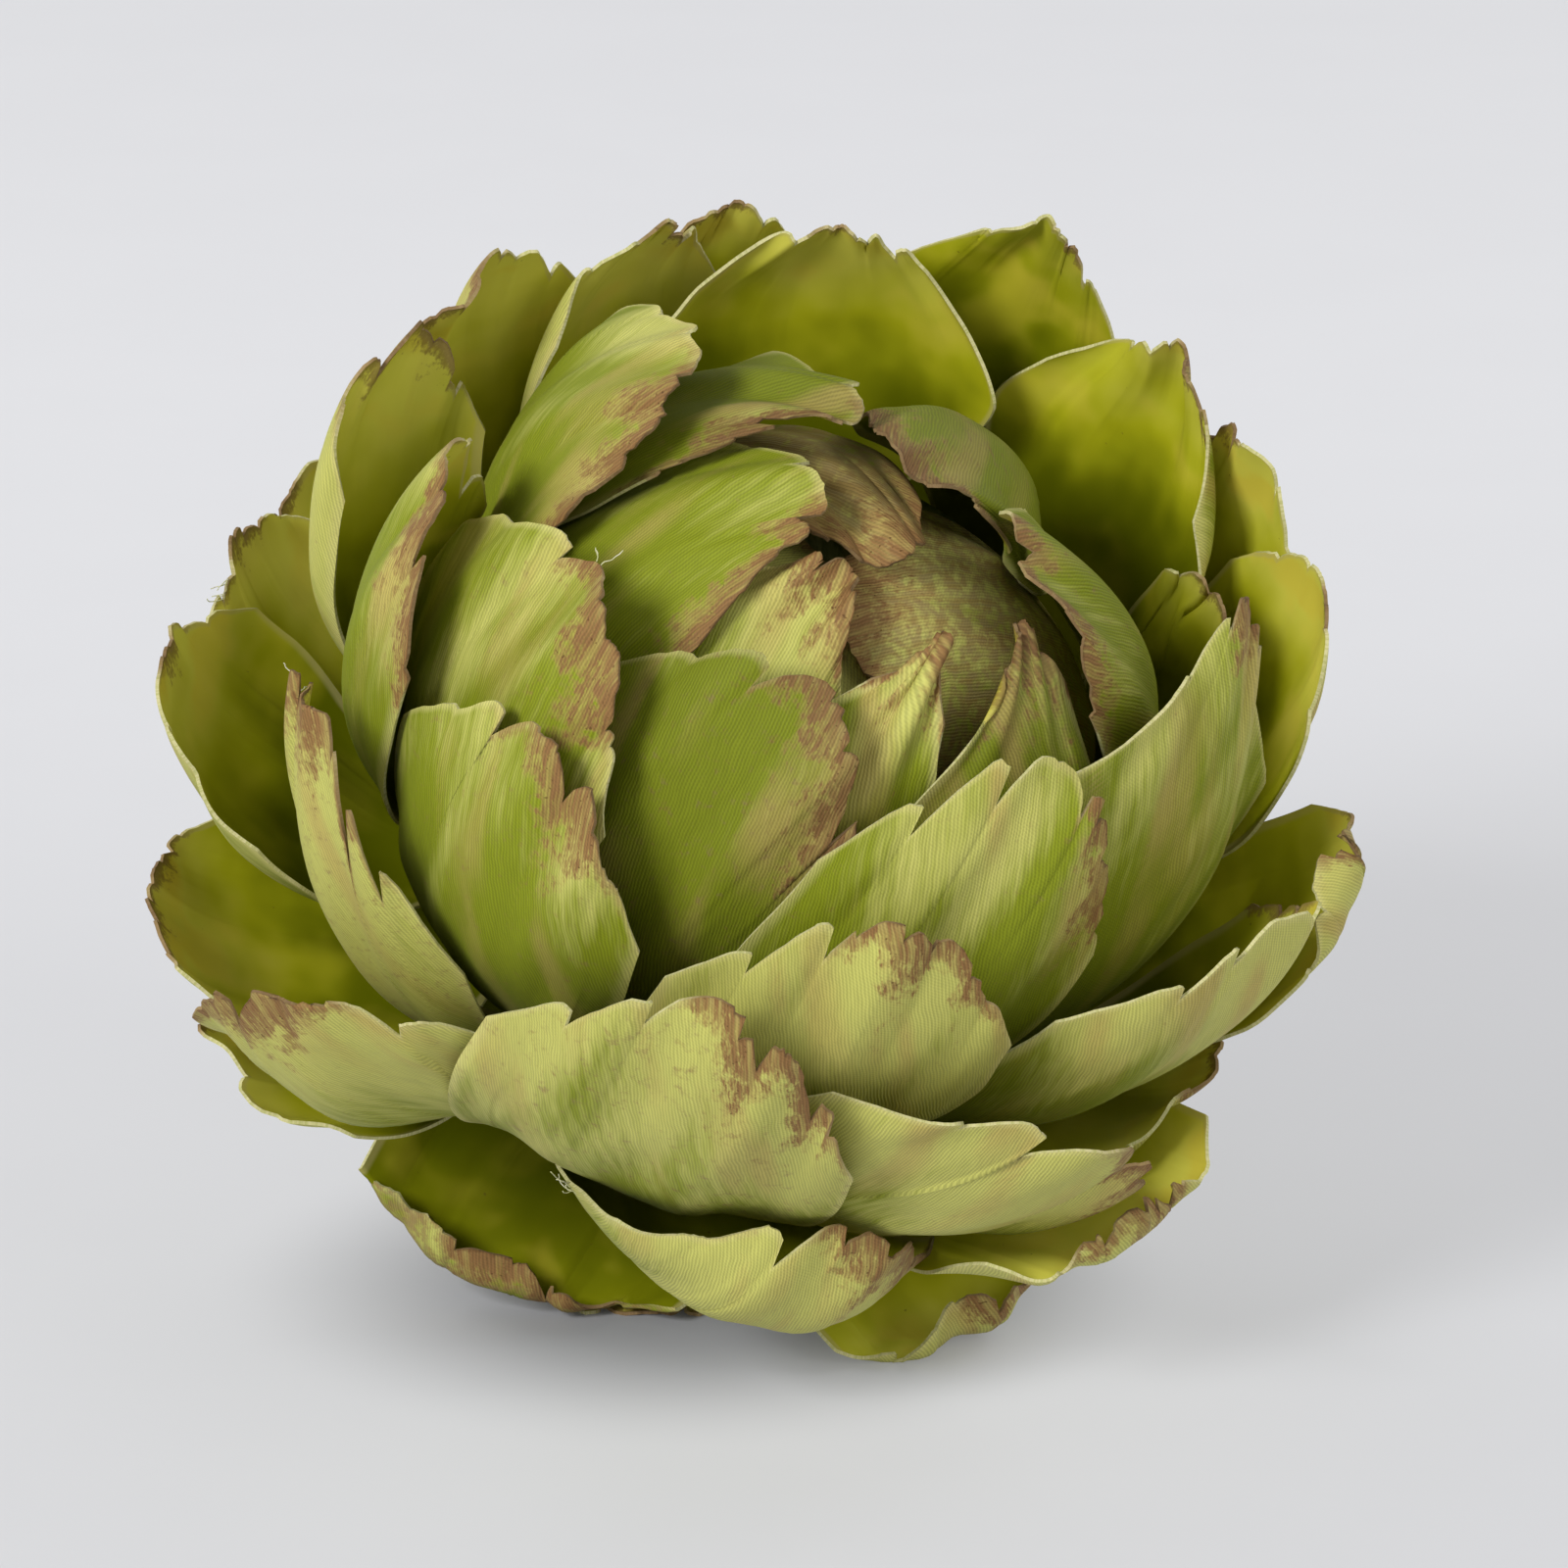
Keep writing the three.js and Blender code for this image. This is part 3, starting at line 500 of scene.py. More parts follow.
def spread_moves(moves, rows, columns, new_rows, new_columns):
    part = np.stack([[np.interp(new_columns, columns, row[:, k]) for row in moves] for k in range(3)], -1)
    full = [[np.interp(new_rows, rows, part[:, j, k]) for j in range(len(new_columns))] for k in range(3)]
    return np.array(full).transpose(2, 1, 0).copy()


def cubic(values, at):
    """Values at fractional places along the first axis, on a smooth curve through them."""
    last = len(values) - 1
    k = np.clip(at.astype(int), 0, last - 1)
    t = (at - k)[(...,) + (None,) * (values.ndim - 1)]
    a, b, c, d = (values[np.clip(k + step, 0, last)] for step in (-1, 0, 1, 2))
    return b + 0.5 * t * (c - a + t * (2 * a - 5 * b + 4 * c - d + t * (3 * (b - c) + d - a)))


def wave(index, u, v):
    """Height of the slow waves that stiffened cloth keeps along its free edges, and of its folds."""
    one = np.sin(u[None] * (5 + 2 * draw(index, 80)) + 6 * draw(index, 81) + 3 * v)
    two = np.sin(u[None] * (12 + 4 * draw(index, 82)) + 6 * draw(index, 83) - 5 * v)
    folds = np.sin(u[None] * (7 + 3 * draw(index, 84)) + 2.2 * v + 6 * draw(index, 85))
    edges = (0.55 * one + 0.35 * two) * smooth((v - 0.35) / 0.6) * (0.35 + 0.65 * np.abs(u[None]))
    return edges + 0.3 * folds * smooth(v / 0.4)


middle, middle_drawn = [], []
for index, shape in enumerate(LEAVES):
    v = MID_ROWS[:, None] * cut_share(shape, index, MID_COLUMNS)[None]
    points, _ = blade(shape, index, MID_COLUMNS, v)
    middle_drawn.append(points)
    moves = spread_moves(coarse_moves[index], ROWS, coarse_columns(index), MID_ROWS, MID_COLUMNS)
    moved = points + blur(moves, 3)
    middle.append(moved + sheet_normals(moved) * wave(index, MID_COLUMNS, v)[..., None])
middle, middle_drawn = np.stack(middle), np.stack(middle_drawn)
lowered = 0.2 * smooth(1 - (middle[..., 2] - FLOOR_GAP) / 1.5)
middle[..., 2] -= lowered
middle = settle(middle, MID_ROWS, steps=10, gap=CLOTH_GAP, deepest=2.5, near=2.6,
                floor_gap=CLOTH / 2, hold=0.5)
middle_moves = middle - middle_drawn
print("second settling done,", middle[0].shape[:2], "points a leaf")

# %% [markdown]
# The fine grid has columns at every cut, so that the jagged end keeps its corners, and rows that
# crowd towards the tip. Creases run down from the deep cuts, where the die pinched the cloth, and
# shallow puckers lie along the leaf.

# %% The fine sheet of each leaf
FINE_ROWS = 1 - (1 - np.linspace(0, 1, 41)) ** 1.25
FINE_COLUMNS, CLOSEST = 57, 0.006
CREASE_WIDTH, CREASE_FROM, CUT_FROM = 0.035, 0.62, 0.75
PUCKER, PUCKER_WIDTH, PUCKER_LENGTH, CREASE = 0.8, 3.6, 13, 0.22


def fine_columns(shape, index):
    places = list(np.linspace(-1, 1, FINE_COLUMNS))
    for at, _, width, way in snips(shape, index):
        places += [at, at - SNIP_STEEP * way, at + width * way, at + 0.4 * width * way]
    places = np.array(sorted(p for p in places if -1 <= p <= 1))
    keep = np.concatenate([[True], np.diff(places) > CLOSEST])
    return places[keep]


def cloud(x, y, seed):
    """Soft random heights between 0 and 1 on a lattice with a spacing of 1."""
    i, j = np.floor(x), np.floor(y)
    across, along = smooth(x - i), smooth(y - j)
    at = lambda a, b: np.modf(np.abs(np.sin(a * 12.9898 + b * 78.233 + seed * 37.7)) * 43758.5453)[0]
    low = at(i, j) * (1 - across) + at(i + 1, j) * across
    high = at(i, j + 1) * (1 - across) + at(i + 1, j + 1) * across
    return low * (1 - along) + high * along


def fine_sheet(shape, index):
    u = fine_columns(shape, index)
    plain = cut_share(shape, index, u, lobe=2.6)
    snipped = snip_depth(shape, index, u)
    near_end = smooth((FINE_ROWS[:, None] - CUT_FROM) / (1 - CUT_FROM))
    v = FINE_ROWS[:, None] * plain[None] - snipped[None] * near_end
    points, cloth = blade(shape, index, u, v)
    moves = cubic(middle_moves[index], np.broadcast_to(FINE_ROWS * (len(MID_ROWS) - 1), FINE_ROWS.shape))
    moves = cubic(moves.transpose(1, 0, 2), (u + 1) / 2 * (len(MID_COLUMNS) - 1)).transpose(1, 0, 2)
    points = points + blur(moves, 2)
    creases = np.zeros_like(v)
    for at, deep, _, _ in snips(shape, index)[:4]:
        line = np.exp(-(((u - at) / CREASE_WIDTH) ** 2))[None]
        creases -= CREASE * line * smooth((v - CREASE_FROM) / 0.3) * (deep > 0.01)
    heights = cloud(cloth[..., 0] / PUCKER_WIDTH, cloth[..., 1] / PUCKER_LENGTH, index + 30) - 0.5
    puckers = PUCKER * heights * smooth(v / 0.6)
    points = points + sheet_normals(points) * (creases + puckers)[..., None]
    points[..., 2] = np.maximum(points[..., 2], CLOTH / 2)
    return u, v, points, cloth


points = fine_sheet(LEAVES[24], 24)[2]
print(LEAVES[24]["name"], "has", points.shape[:2], "points on each side")

# %% [markdown]
# Dye follows the leaf, not the room: it is paler along the cuts and brown at the end. The colour
# is also darker low on the leaf, partly dye and partly painted shade where the leaves overlap. So
# numbers are kept on the points: streaks along the leaf and along the ribs, how far a point is from
# the cut end and from the side edges, its share of the leaf's length, and the tone, rust and brown
# that this leaf was given, where tone and rust also carry painted light and shade. A painted picture
# could hold them too, but it would need a layout for each leaf.

# %% Numbers for the dye and the painted light and shade
STREAK_WIDTH, STREAK_LENGTH = 5.0, 26.0
RIB_ANGLE = math.radians(-22)


def streaks(x, y, seed, width, length):
    """Soft long streaks on the flat cloth, around 0.5, in two sizes."""
    coarse = cloud(x / width, y / length, seed)
    fine = cloud(2.3 * x / width, 2.3 * y / length, seed + 0.5)
    return 0.5 + 1.7 * (0.65 * coarse + 0.35 * fine - 0.5)


def brown_along(shape, index, u):
    """How strongly the end is sprayed brown: a burst from one side or the middle, and patchy."""
    _, at, spread, strength, _ = dye_and_painted_light(shape, index)
    burst = np.exp(-(((u - at) / spread) ** 2))
    patch = 0.8 + 0.25 * np.sin(9 * u + 6 * draw(index, 93)) + 0.2 * np.sin(17 * u + 6 * draw(index, 94))
    return np.clip(patch * (0.1 + burst) * strength, 0, 1.3)


def dye_and_light_numbers(shape, index, u, v, cloth):
    """What the dye and the painted light and shade depend on, at each point of the sheet."""
    x, y = cloth[..., 0], cloth[..., 1]
    cosine, sine = math.cos(RIB_ANGLE), math.sin(RIB_ANGLE)
    along_ribs = x * cosine - y * sine, x * sine + y * cosine
    half_width = np.abs(x[:, [0, -1]]).max(1)[:, None]
    tone_and_light, _, _, _, rust_and_shade = dye_and_painted_light(shape, index)
    everywhere = np.ones_like(v)
    return {
        "streak": streaks(x, y, index, STREAK_WIDTH, STREAK_LENGTH),
        "wash": streaks(*along_ribs, index + 70, 0.7 * STREAK_WIDTH, 0.8 * STREAK_LENGTH),
        "from_end": (v[-1] - v) * y.max() / max(v[-1].max(), 0.1),
        "from_side": half_width * (1 - np.abs(u)) * everywhere,
        "up_leaf": v,
        "tone_and_light": tone_and_light * everywhere,
        "rust_and_shade": rust_and_shade * everywhere,
        "brown": brown_along(shape, index, u) * everywhere,
    }


brownest = max(LEAVES, key=lambda shape: dye_and_painted_light(shape, LEAVES.index(shape))[3])
print(brownest["name"], "has the strongest brown")

# %% [markdown]
# A sheet becomes cloth when it gets two faces and a rim between them. Three materials tell them
# apart: the ribbed outside, the smooth inside and the cut edge. The faces are smooth and only
# their border is sharp, as on cloth that was cut with a die.

# %% From sheet to cloth
def new_mesh(name, points, faces):
    """A smooth mesh from points in metres."""
    mesh = bpy.data.meshes.new(name)
    mesh.from_pydata(points, [], faces)
    mesh.shade_smooth()
    return mesh


def keep_numbers(mesh, numbers):
    """Stores numbers on the points of a mesh, where a material finds them by name."""
    for key, values in numbers.items():
        flat = values.reshape(-1).astype(np.float32)
        mesh.attributes.new(key, "FLOAT", "POINT").data.foreach_set("value", flat)


def sharpen_rim(mesh, border, other):
    """Keeps the edges sharp where the faces of the cloth meet its rim."""
    ends = np.empty(len(mesh.edges) * 2, np.int32)
    mesh.edges.foreach_get("vertices", ends)
    ends = ends.reshape(-1, 2)
    after = np.roll(border, -1)
    pairs = {tuple(sorted(pair)) for face in (0, other) for pair in zip(border + face, after + face)}
    sharp = np.isin(ends, np.concatenate([border, border + other])).all(1)
    for k in np.flatnonzero(sharp):
        sharp[k] = tuple(sorted(ends[k])) in pairs
    mesh.attributes.new("sharp_edge", "BOOLEAN", "EDGE").data.foreach_set("value", sharp)


def cloth_mesh(name, shape, index):
    u, v, points, cloth = fine_sheet(shape, index)
    offset = sheet_normals(points) * CLOTH / 2
    both = np.concatenate([points + offset, points - offset]).reshape(-1, 3)
    both[:, 2] = np.maximum(both[:, 2], 0)
    other = v.size
    grid = np.arange(other).reshape(v.shape)
    a, b, c, d = grid[:-1, :-1], grid[:-1, 1:], grid[1:, 1:], grid[1:, :-1]
    outside = np.stack([a, b, c, d], -1).reshape(-1, 4)
    inside = np.stack([a, d, c, b], -1).reshape(-1, 4) + other
    border = np.concatenate([grid[0, :-1], grid[:-1, -1], grid[-1, :0:-1], grid[:0:-1, 0]])
    after = np.roll(border, -1)
    rim = np.stack([border, border + other, after + other, after], -1)
    mesh = new_mesh(name, (both * MM).tolist(), np.concatenate([outside, inside, rim]).tolist())
    which = np.repeat([0, 1, 2], [len(outside), len(inside), len(rim)])
    mesh.polygons.foreach_set("material_index", which.astype(np.int32))
    sharpen_rim(mesh, border, other)
    numbers = dye_and_light_numbers(shape, index, u, v, cloth)
    keep_numbers(mesh, {key: np.tile(values, (2, 1)) for key, values in numbers.items()})
    seed = np.full_like(v, 40 * draw(index, 95))
    place = np.tile(np.stack([cloth[..., 0], cloth[..., 1], seed], -1), (2, 1, 1))
    flat = place.astype(np.float32).reshape(-1)
    mesh.attributes.new("cloth", "FLOAT_VECTOR", "POINT").data.foreach_set("vector", flat)
    return mesh


print("cloth is", CLOTH, "mm thick")

# %% [markdown]
# Materials are drawn with nodes. A small class keeps that short: each call adds one node, sets its
# inputs by value or by link, and gives back its output.

# %% A short way to write nodes
class Sketch:
    def __init__(self, tree):
        self.tree = tree

    def add(self, kind, inputs=(), **settings):
        node = self.tree.nodes.new("ShaderNode" + kind)
        for key, value in settings.items():
            setattr(node, key, value)
        for key, value in dict(inputs).items():
            if isinstance(value, bpy.types.NodeSocket):
                self.tree.links.new(value, node.inputs[key])
            else:
                node.inputs[key].default_value = value
        return node

    def group(self, tree, inputs):
        return self.add("Group", inputs, node_tree=tree).outputs

    def math(self, operation, *values):
        return self.add("Math", enumerate(values), operation=operation).outputs[0]

    def remap(self, value, low, high, to_low=0.0, to_high=1.0):
        return self.add("MapRange", enumerate((value, low, high, to_low, to_high)),
                        interpolation_type="SMOOTHSTEP").outputs[0]

    def mix(self, share, one, two, blend="MIX"):
        return self.add("Mix", {0: share, 6: one, 7: two}, data_type="RGBA", blend_type=blend).outputs[2]

    def plus(self, a, b):
        return self.math("ADD", a, b)

    def minus(self, a, b):
        return self.math("SUBTRACT", a, b)

    def times(self, a, b):
        return self.math("MULTIPLY", a, b)

    def over(self, a, b):
        return self.math("DIVIDE", a, b)

    def axes(self, vector):
        return tuple(self.add("SeparateXYZ", {0: vector}).outputs)

    def vector(self, x, y, z=0.0):
        return self.add("CombineXYZ", {0: x, 1: y, 2: z}).outputs[0]

    def noise(self, place, scale, detail=2.0, roughness=0.5):
        return self.add("TexNoise", {"Vector": place, "Scale": scale, "Detail": detail,
                                     "Roughness": roughness}).outputs[0]

    def bump(self, height, distance, strength):
        return self.add("Bump", {"Height": height, "Distance": distance, "Strength": strength}).outputs[0]

    def number(self, name):
        return self.add("Attribute", attribute_name=name).outputs["Fac"]

    def place(self):
        return self.add("TexCoord").outputs["Object"]

    def give(self, outside, values):
        """Links the values that a node group puts out."""
        for key, value in values.items():
            self.tree.links.new(value, outside.inputs[key])


def new_group(name, inputs, outputs):
    """An empty node group with named sockets; gives its sketch, its input node and output node."""
    tree = bpy.data.node_groups.new(name, "ShaderNodeTree")
    kinds = {float: "NodeSocketFloat", list: "NodeSocketVector"}
    for in_out, sockets in (("INPUT", inputs), ("OUTPUT", outputs)):
        for key, value in sockets.items():
            socket = tree.interface.new_socket(key, in_out=in_out, socket_type=kinds[type(value)])
            if in_out == "INPUT":
                socket.default_value = value
    return Sketch(tree), tree.nodes.new("NodeGroupInput"), tree.nodes.new("NodeGroupOutput")


print("sketch ready")

# %% [markdown]
# The cloth is a fine twill: ribs run at an angle to the leaf, and each rib is broken into beads by
# the threads that cross it. The group turns the flat place to lie along the ribs and gives a
# height for the bump and a shade for the colour. Threads pull a little, so the lines wander.

# %% Node group: ribbed weave
BEAD_SLANT, THREAD_PULL = 11.6, 0.5
RIB_SHARE, BEAD_SHARE, UNEVEN_SHARE = 0.36, 0.14, 0.45


def ribbed_weave():
    g, inside, outside = new_group(
        "Ribbed weave", {"Cloth": [0, 0, 0], "Rib pitch": 0.33, "Bead pitch": 0.4, "Angle": 0.4},
        {"Height": 0.0, "Shade": 0.0, "Along ribs": [0, 0, 0]})
    turned = g.add("VectorRotate", {"Vector": inside.outputs["Cloth"], "Angle": inside.outputs["Angle"]},
                   rotation_type="Z_AXIS").outputs[0]
    wander = g.noise(turned, 0.35, 1.0)
    x, y, z = g.axes(turned)
    x = g.plus(x, g.times(wander, THREAD_PULL))
    full = 2 * math.pi
    rib = g.math("SINE", g.over(g.times(x, full), inside.outputs["Rib pitch"]))
    bead = g.over(g.times(y, full), inside.outputs["Bead pitch"])
    bead = g.math("SINE", g.plus(bead, g.times(x, BEAD_SLANT)))
    height = g.plus(g.plus(g.times(rib, RIB_SHARE), g.times(bead, BEAD_SHARE)), 0.5)
    uneven = g.noise(g.vector(g.times(x, 3.5), g.times(y, 0.35), z), 1.0, 2.0)
    shade = g.plus(g.times(height, 1 - UNEVEN_SHARE), g.times(uneven, UNEVEN_SHARE))
    g.give(outside, {"Height": height, "Shade": shade, "Along ribs": g.vector(x, y, z)})
    return g.tree


WEAVE = ribbed_weave()
print(WEAVE.name, "has", len(WEAVE.nodes), "nodes")

# %% [markdown]
# Dye is brushed and sprayed on by hand, and it sinks along the threads. This group makes streaks
# from noise that is stretched along one direction.

# %% Node group: dye streaks
def dye_streaks():
    g, inside, outside = new_group(
        "Dye streaks", {"Cloth": [0, 0, 0], "Width": 2.2, "Length": 22.0, "Contrast": 1.0}, {"Streak": 0.0})
    x, y, z = g.axes(inside.outputs["Cloth"])
    place = g.vector(g.over(x, inside.outputs["Width"]), g.over(y, inside.outputs["Length"]), z)
    broad = g.noise(place, 1.0, 2.0, 0.55)
    spread = g.times(g.minus(broad, 0.5), g.times(inside.outputs["Contrast"], 2.4))
    g.give(outside, {"Streak": g.plus(spread, 0.5)})
    return g.tree


STREAKS = dye_streaks()
print(STREAKS.name, "has", len(STREAKS.nodes), "nodes")

# %% [markdown]
# The brown of the ends is sprayed from outside. It is strongest on the cut edge, fades softly over
# a few millimetres and sinks in along the threads, with a tan halo round it and a dark line on
# the cut where the spray was thick.

# %% Node group: sprayed end
def sprayed_end():
    g, inside, outside = new_group(
        "Sprayed end", {"Cloth": [0, 0, 0], "From end": 10.0, "Amount": 1.0, "Depth": 5.0},
        {"Brown": 0.0, "Halo": 0.0, "Line": 0.0})
    x, y, z = g.axes(inside.outputs["Cloth"])
    ragged = g.noise(g.vector(g.times(x, 3.2), g.times(y, 0.95), z), 1.0, 3.0, 0.7)
    cloudy = g.noise(inside.outputs["Cloth"], 0.45, 3.0, 0.6)
    amount, from_end = inside.outputs["Amount"], inside.outputs["From end"]
    reach = g.times(inside.outputs["Depth"], amount)
    reach = g.times(reach, g.plus(g.times(cloudy, 3.2), -0.6))
    far = g.over(from_end, g.math("MAXIMUM", reach, 0.05))
    near = g.minus(1.0, g.math("MINIMUM", far, 2.0))
    halo = g.times(g.remap(near, -0.25, 0.6), g.remap(amount, 0.1, 0.5))
    sunk = g.plus(near, g.times(g.minus(ragged, 0.5), 2.4))
    brown = g.times(g.remap(sunk, -0.05, 0.75), g.remap(amount, 0.1, 0.4))
    line = g.remap(g.plus(from_end, g.times(ragged, 1.1)), 1.0, 0.45)
    line = g.times(line, g.remap(amount, 0.3, 0.8))
    g.give(outside, {"Brown": brown, "Halo": halo, "Line": line})
    return g.tree


SPRAY = sprayed_end()
print(SPRAY.name, "has", len(SPRAY.nodes), "nodes")

# %% [markdown]
# All cloth here is matt, with hardly any sheen, and lets a little of the light pass through, which
# is why a leaf that stands against the light glows. A leaf is too thin for light to spread inside
# it, so the light that passes is added as a translucent share and not as light under the surface.

# %% What the cloths share
BROWN_DEPTH = {"outside": 7.0, "inside": 4.0, "edge": 3.0}
RUST = (0.25, 0.135, 0.048, 1)
DARK_BROWN = (0.11, 0.05, 0.016, 1)


def new_material(name):
    material = bpy.data.materials.new(name)
    material.use_nodes = True
    material.node_tree.nodes.clear()
    return material, Sketch(material.node_tree)


def finish_cloth(s, colour, through, **settings):
    """Matt cloth of one colour that lets a share of the light through."""
    cloth = s.add("BsdfPrincipled", {"Base Color": colour, **settings})
    back = s.add("BsdfTranslucent", {"Color": colour})
    both = s.add("MixShader", {0: through, 1: cloth.outputs[0], 2: back.outputs[0]})
    s.add("OutputMaterial", {0: both.outputs[0]})


def cloth_place(s):
    return s.add("Attribute", attribute_name="cloth").outputs["Vector"]


def sprayed(s, place, side):
    """The brown of a leaf's end, as far as it sinks into this side of the cloth."""
    return s.group(SPRAY, {"Cloth": place, "From end": s.number("from_end"),
                           "Amount": s.number("brown"), "Depth": BROWN_DEPTH[side]})


print("brown reaches", BROWN_DEPTH["outside"], "mm down the outside")

# %% [markdown]
# The outside of a leaf is pale yellow green over a more saturated green that shows low on the leaf
# and in streaks, with tan washed over it in places. Lowest on the leaf, where the leaves overlap,
# it is darkened further, which is painted shade, and leaves that lie in shadow are darkened all
# over, also painted shade. Rust and mauve blots, the sprayed brown and small dark specks lie on
# top, and the ribs of the weave shade all of it.

# %% Material: outside of a leaf
RIB_HEIGHT = 0.04 * MM
PALE = (0.51, 0.505, 0.13, 1)
GREEN = (0.225, 0.265, 0.012, 1)
DEEP_ROOT_SHADE = (0.1, 0.125, 0.001, 1)
CREAM = (0.64, 0.59, 0.23, 1)
TAN = (0.46, 0.35, 0.105, 1)
MAUVE = (0.29, 0.19, 0.09, 1)
WEAVE_DARK, WEAVE_LIGHT, DEEP_LEAF_SHADE = 0.82, 1.15, 0.55
FAINT_SHEEN = {"Specular IOR Level": 0.15, "Sheen Weight": 0.02, "Sheen Roughness": 0.5}


def outside_cloth():
    material, s = new_material("leaf_outside")
    weave = s.group(WEAVE, {"Cloth": cloth_place(s), "Angle": RIB_ANGLE})
    along = weave["Along ribs"]
    streaks_here = s.group(STREAKS, {"Cloth": along, "Width": 0.7, "Length": 8.0, "Contrast": 1.2})
    thread_streaks = streaks_here["Streak"]
    leaf_streaks, wash_streaks = s.number("streak"), s.number("wash")
    up_leaf = s.number("up_leaf")
    # Tone is dye, and past 0 and 1 it is also painted shade and painted light.
    paleness = s.plus(s.remap(up_leaf, 0.3, 1.0, -0.35, 0.45), s.number("tone_and_light"))
    paleness = s.plus(paleness, s.times(s.minus(leaf_streaks, 0.5), 0.95))
    paleness = s.plus(paleness, s.times(s.minus(thread_streaks, 0.5), 0.35))
    colour = s.mix(s.remap(paleness, 0.0, 1.0), GREEN, PALE)
    # Painted shade: low on the leaf, near the root where the leaves overlap, the colour darkens to a deep
    # green.
    colour = s.mix(s.remap(up_leaf, 0.5, 0.1, 0.0, 0.75), colour, DEEP_ROOT_SHADE)
    washed = s.times(s.remap(wash_streaks, 0.5, 1.1), s.remap(up_leaf, 0.3, 0.9, 0.3, 0.75))
    colour = s.mix(washed, colour, TAN)
    colour = s.mix(s.remap(s.number("from_side"), 1.6, 0.1, 0.0, 0.5), colour, CREAM)
    colour = s.mix(s.remap(s.number("from_end"), 1.4, 0.1, 0.0, 0.5), colour, CREAM)
    blots = s.noise(along, 0.7, 3.0, 0.7)
    blotch = s.remap(s.plus(blots, s.times(s.number("rust_and_shade"), 0.3)), 0.62, 0.9, 0.0, 0.7)
    colour = s.mix(blotch, colour, s.mix(s.remap(thread_streaks, 0.2, 0.8), MAUVE, RUST))
    spray = sprayed(s, along, "outside")
    colour = s.mix(s.times(spray["Halo"], 0.5), colour, TAN)
    in_threads = s.remap(thread_streaks, 0.9, 0.3, 0.5, 1.0)
    colour = s.mix(s.times(spray["Brown"], in_threads), colour, RUST)
    dots = s.times(s.plus(spray["Halo"], 0.12), s.remap(s.noise(along, 2.4, 1.0), 0.68, 0.76))
    colour = s.mix(s.times(dots, 0.7), colour, DARK_BROWN)
    colour = s.mix(s.times(spray["Line"], 0.6), colour, DARK_BROWN)
    lit = s.remap(weave["Shade"], 0.25, 0.75, WEAVE_DARK, WEAVE_LIGHT)
    # Painted shade: leaves with a tone below 0, which lie in shadow, are darkened all over.
    lit = s.times(lit, s.remap(s.number("tone_and_light"), -0.5, 0.0, DEEP_LEAF_SHADE, 1.0))
    grey = s.add("CombineColor", {0: lit, 1: lit, 2: lit}).outputs[0]
    colour = s.mix(1.0, colour, grey, "MULTIPLY")
    bump = s.bump(weave["Height"], RIB_HEIGHT, 0.9)
    finish_cloth(s, colour, through=0.2, Normal=bump, Roughness=0.6, **FAINT_SHEEN)
    return material


OUTSIDE = outside_cloth()
print(OUTSIDE.name, "has", len(OUTSIDE.node_tree.nodes), "nodes")

# %% [markdown]
# The inside was dipped, not brushed: a smooth, saturated yellow green. It is painted bright
# yellow near the top and deepens to olive low down, partly dye and partly painted light where the
# thin cloth glows and painted shade deep in the cup. On leaves with a lot of rust it is darkened
# all over, which is painted shade for leaves in shadow, and gold clouds near the top are a painted
# glow of light shining through. Near the cut end a thin pale line shows where the dye didn't
# reach, then the brown line.

# %% Material: inside of a leaf
INSIDE_TOP = (0.84, 0.8, 0.13, 1)
INSIDE_MIDDLE = (0.56, 0.56, 0.014, 1)
INSIDE_LOW = (0.16, 0.18, 0.001, 1)
PAINTED_GLOW_GOLD = (0.8, 0.65, 0.07, 1)
SELVEDGE = (0.66, 0.58, 0.24, 1)


def inside_cloth():
    material, s = new_material("leaf_inside")
    place = cloth_place(s)
    up_leaf = s.number("up_leaf")
    clouds = s.noise(place, 0.1, 2.0, 0.5)
    streak = s.number("streak")
    uneven = s.plus(up_leaf, s.times(s.minus(streak, 0.5), 0.12))
    uneven = s.plus(uneven, s.times(s.minus(clouds, 0.5), 0.5))
    uneven = s.plus(uneven, s.times(s.minus(s.number("tone_and_light"), 0.5), 0.2))
    # Partly dye, partly painted light and shade: bright near the leaf's top, olive low in the cup.
    colour = s.mix(s.remap(uneven, 0.3, 0.72), INSIDE_LOW, INSIDE_MIDDLE)
    colour = s.mix(s.remap(uneven, 0.6, 1.0), colour, INSIDE_TOP)
    # Painted shade: leaves with rust are darkened all over on the inside.
    colour = s.mix(s.times(s.number("rust_and_shade"), 0.7), colour, INSIDE_LOW)
    # Painted glow: gold clouds near the top stand for light shining through the cloth.
    painted_glow = s.times(s.remap(clouds, 0.5, 0.66), s.remap(up_leaf, 0.45, 0.9, 0.1, 0.6))
    colour = s.mix(painted_glow, colour, PAINTED_GLOW_GOLD)
    spray = sprayed(s, place, "inside")
    edge = s.math("MINIMUM", s.number("from_end"), s.number("from_side"))
    pale_edge = s.remap(s.plus(edge, streak), 1.5, 0.8, 0.0, 0.5)
    colour = s.mix(pale_edge, colour, SELVEDGE)
    colour = s.mix(s.times(spray["Brown"], 0.7), colour, RUST)
    colour = s.mix(s.times(spray["Line"], 0.45), colour, DARK_BROWN)
    speck = s.remap(s.noise(place, 0.9, 1.0), 0.8, 0.84, 0.0, 0.5)
    colour = s.mix(speck, colour, DARK_BROWN)
    finish_cloth(s, colour, through=0.4, Roughness=0.65, **{"Specular IOR Level": 0.05})
    return material


INSIDE = inside_cloth()
print(INSIDE.name, "has", len(INSIDE.node_tree.nodes), "nodes")

# %% [markdown]
# The rim is the cut through the cloth: undyed pale threads, stained where the brown ran in.

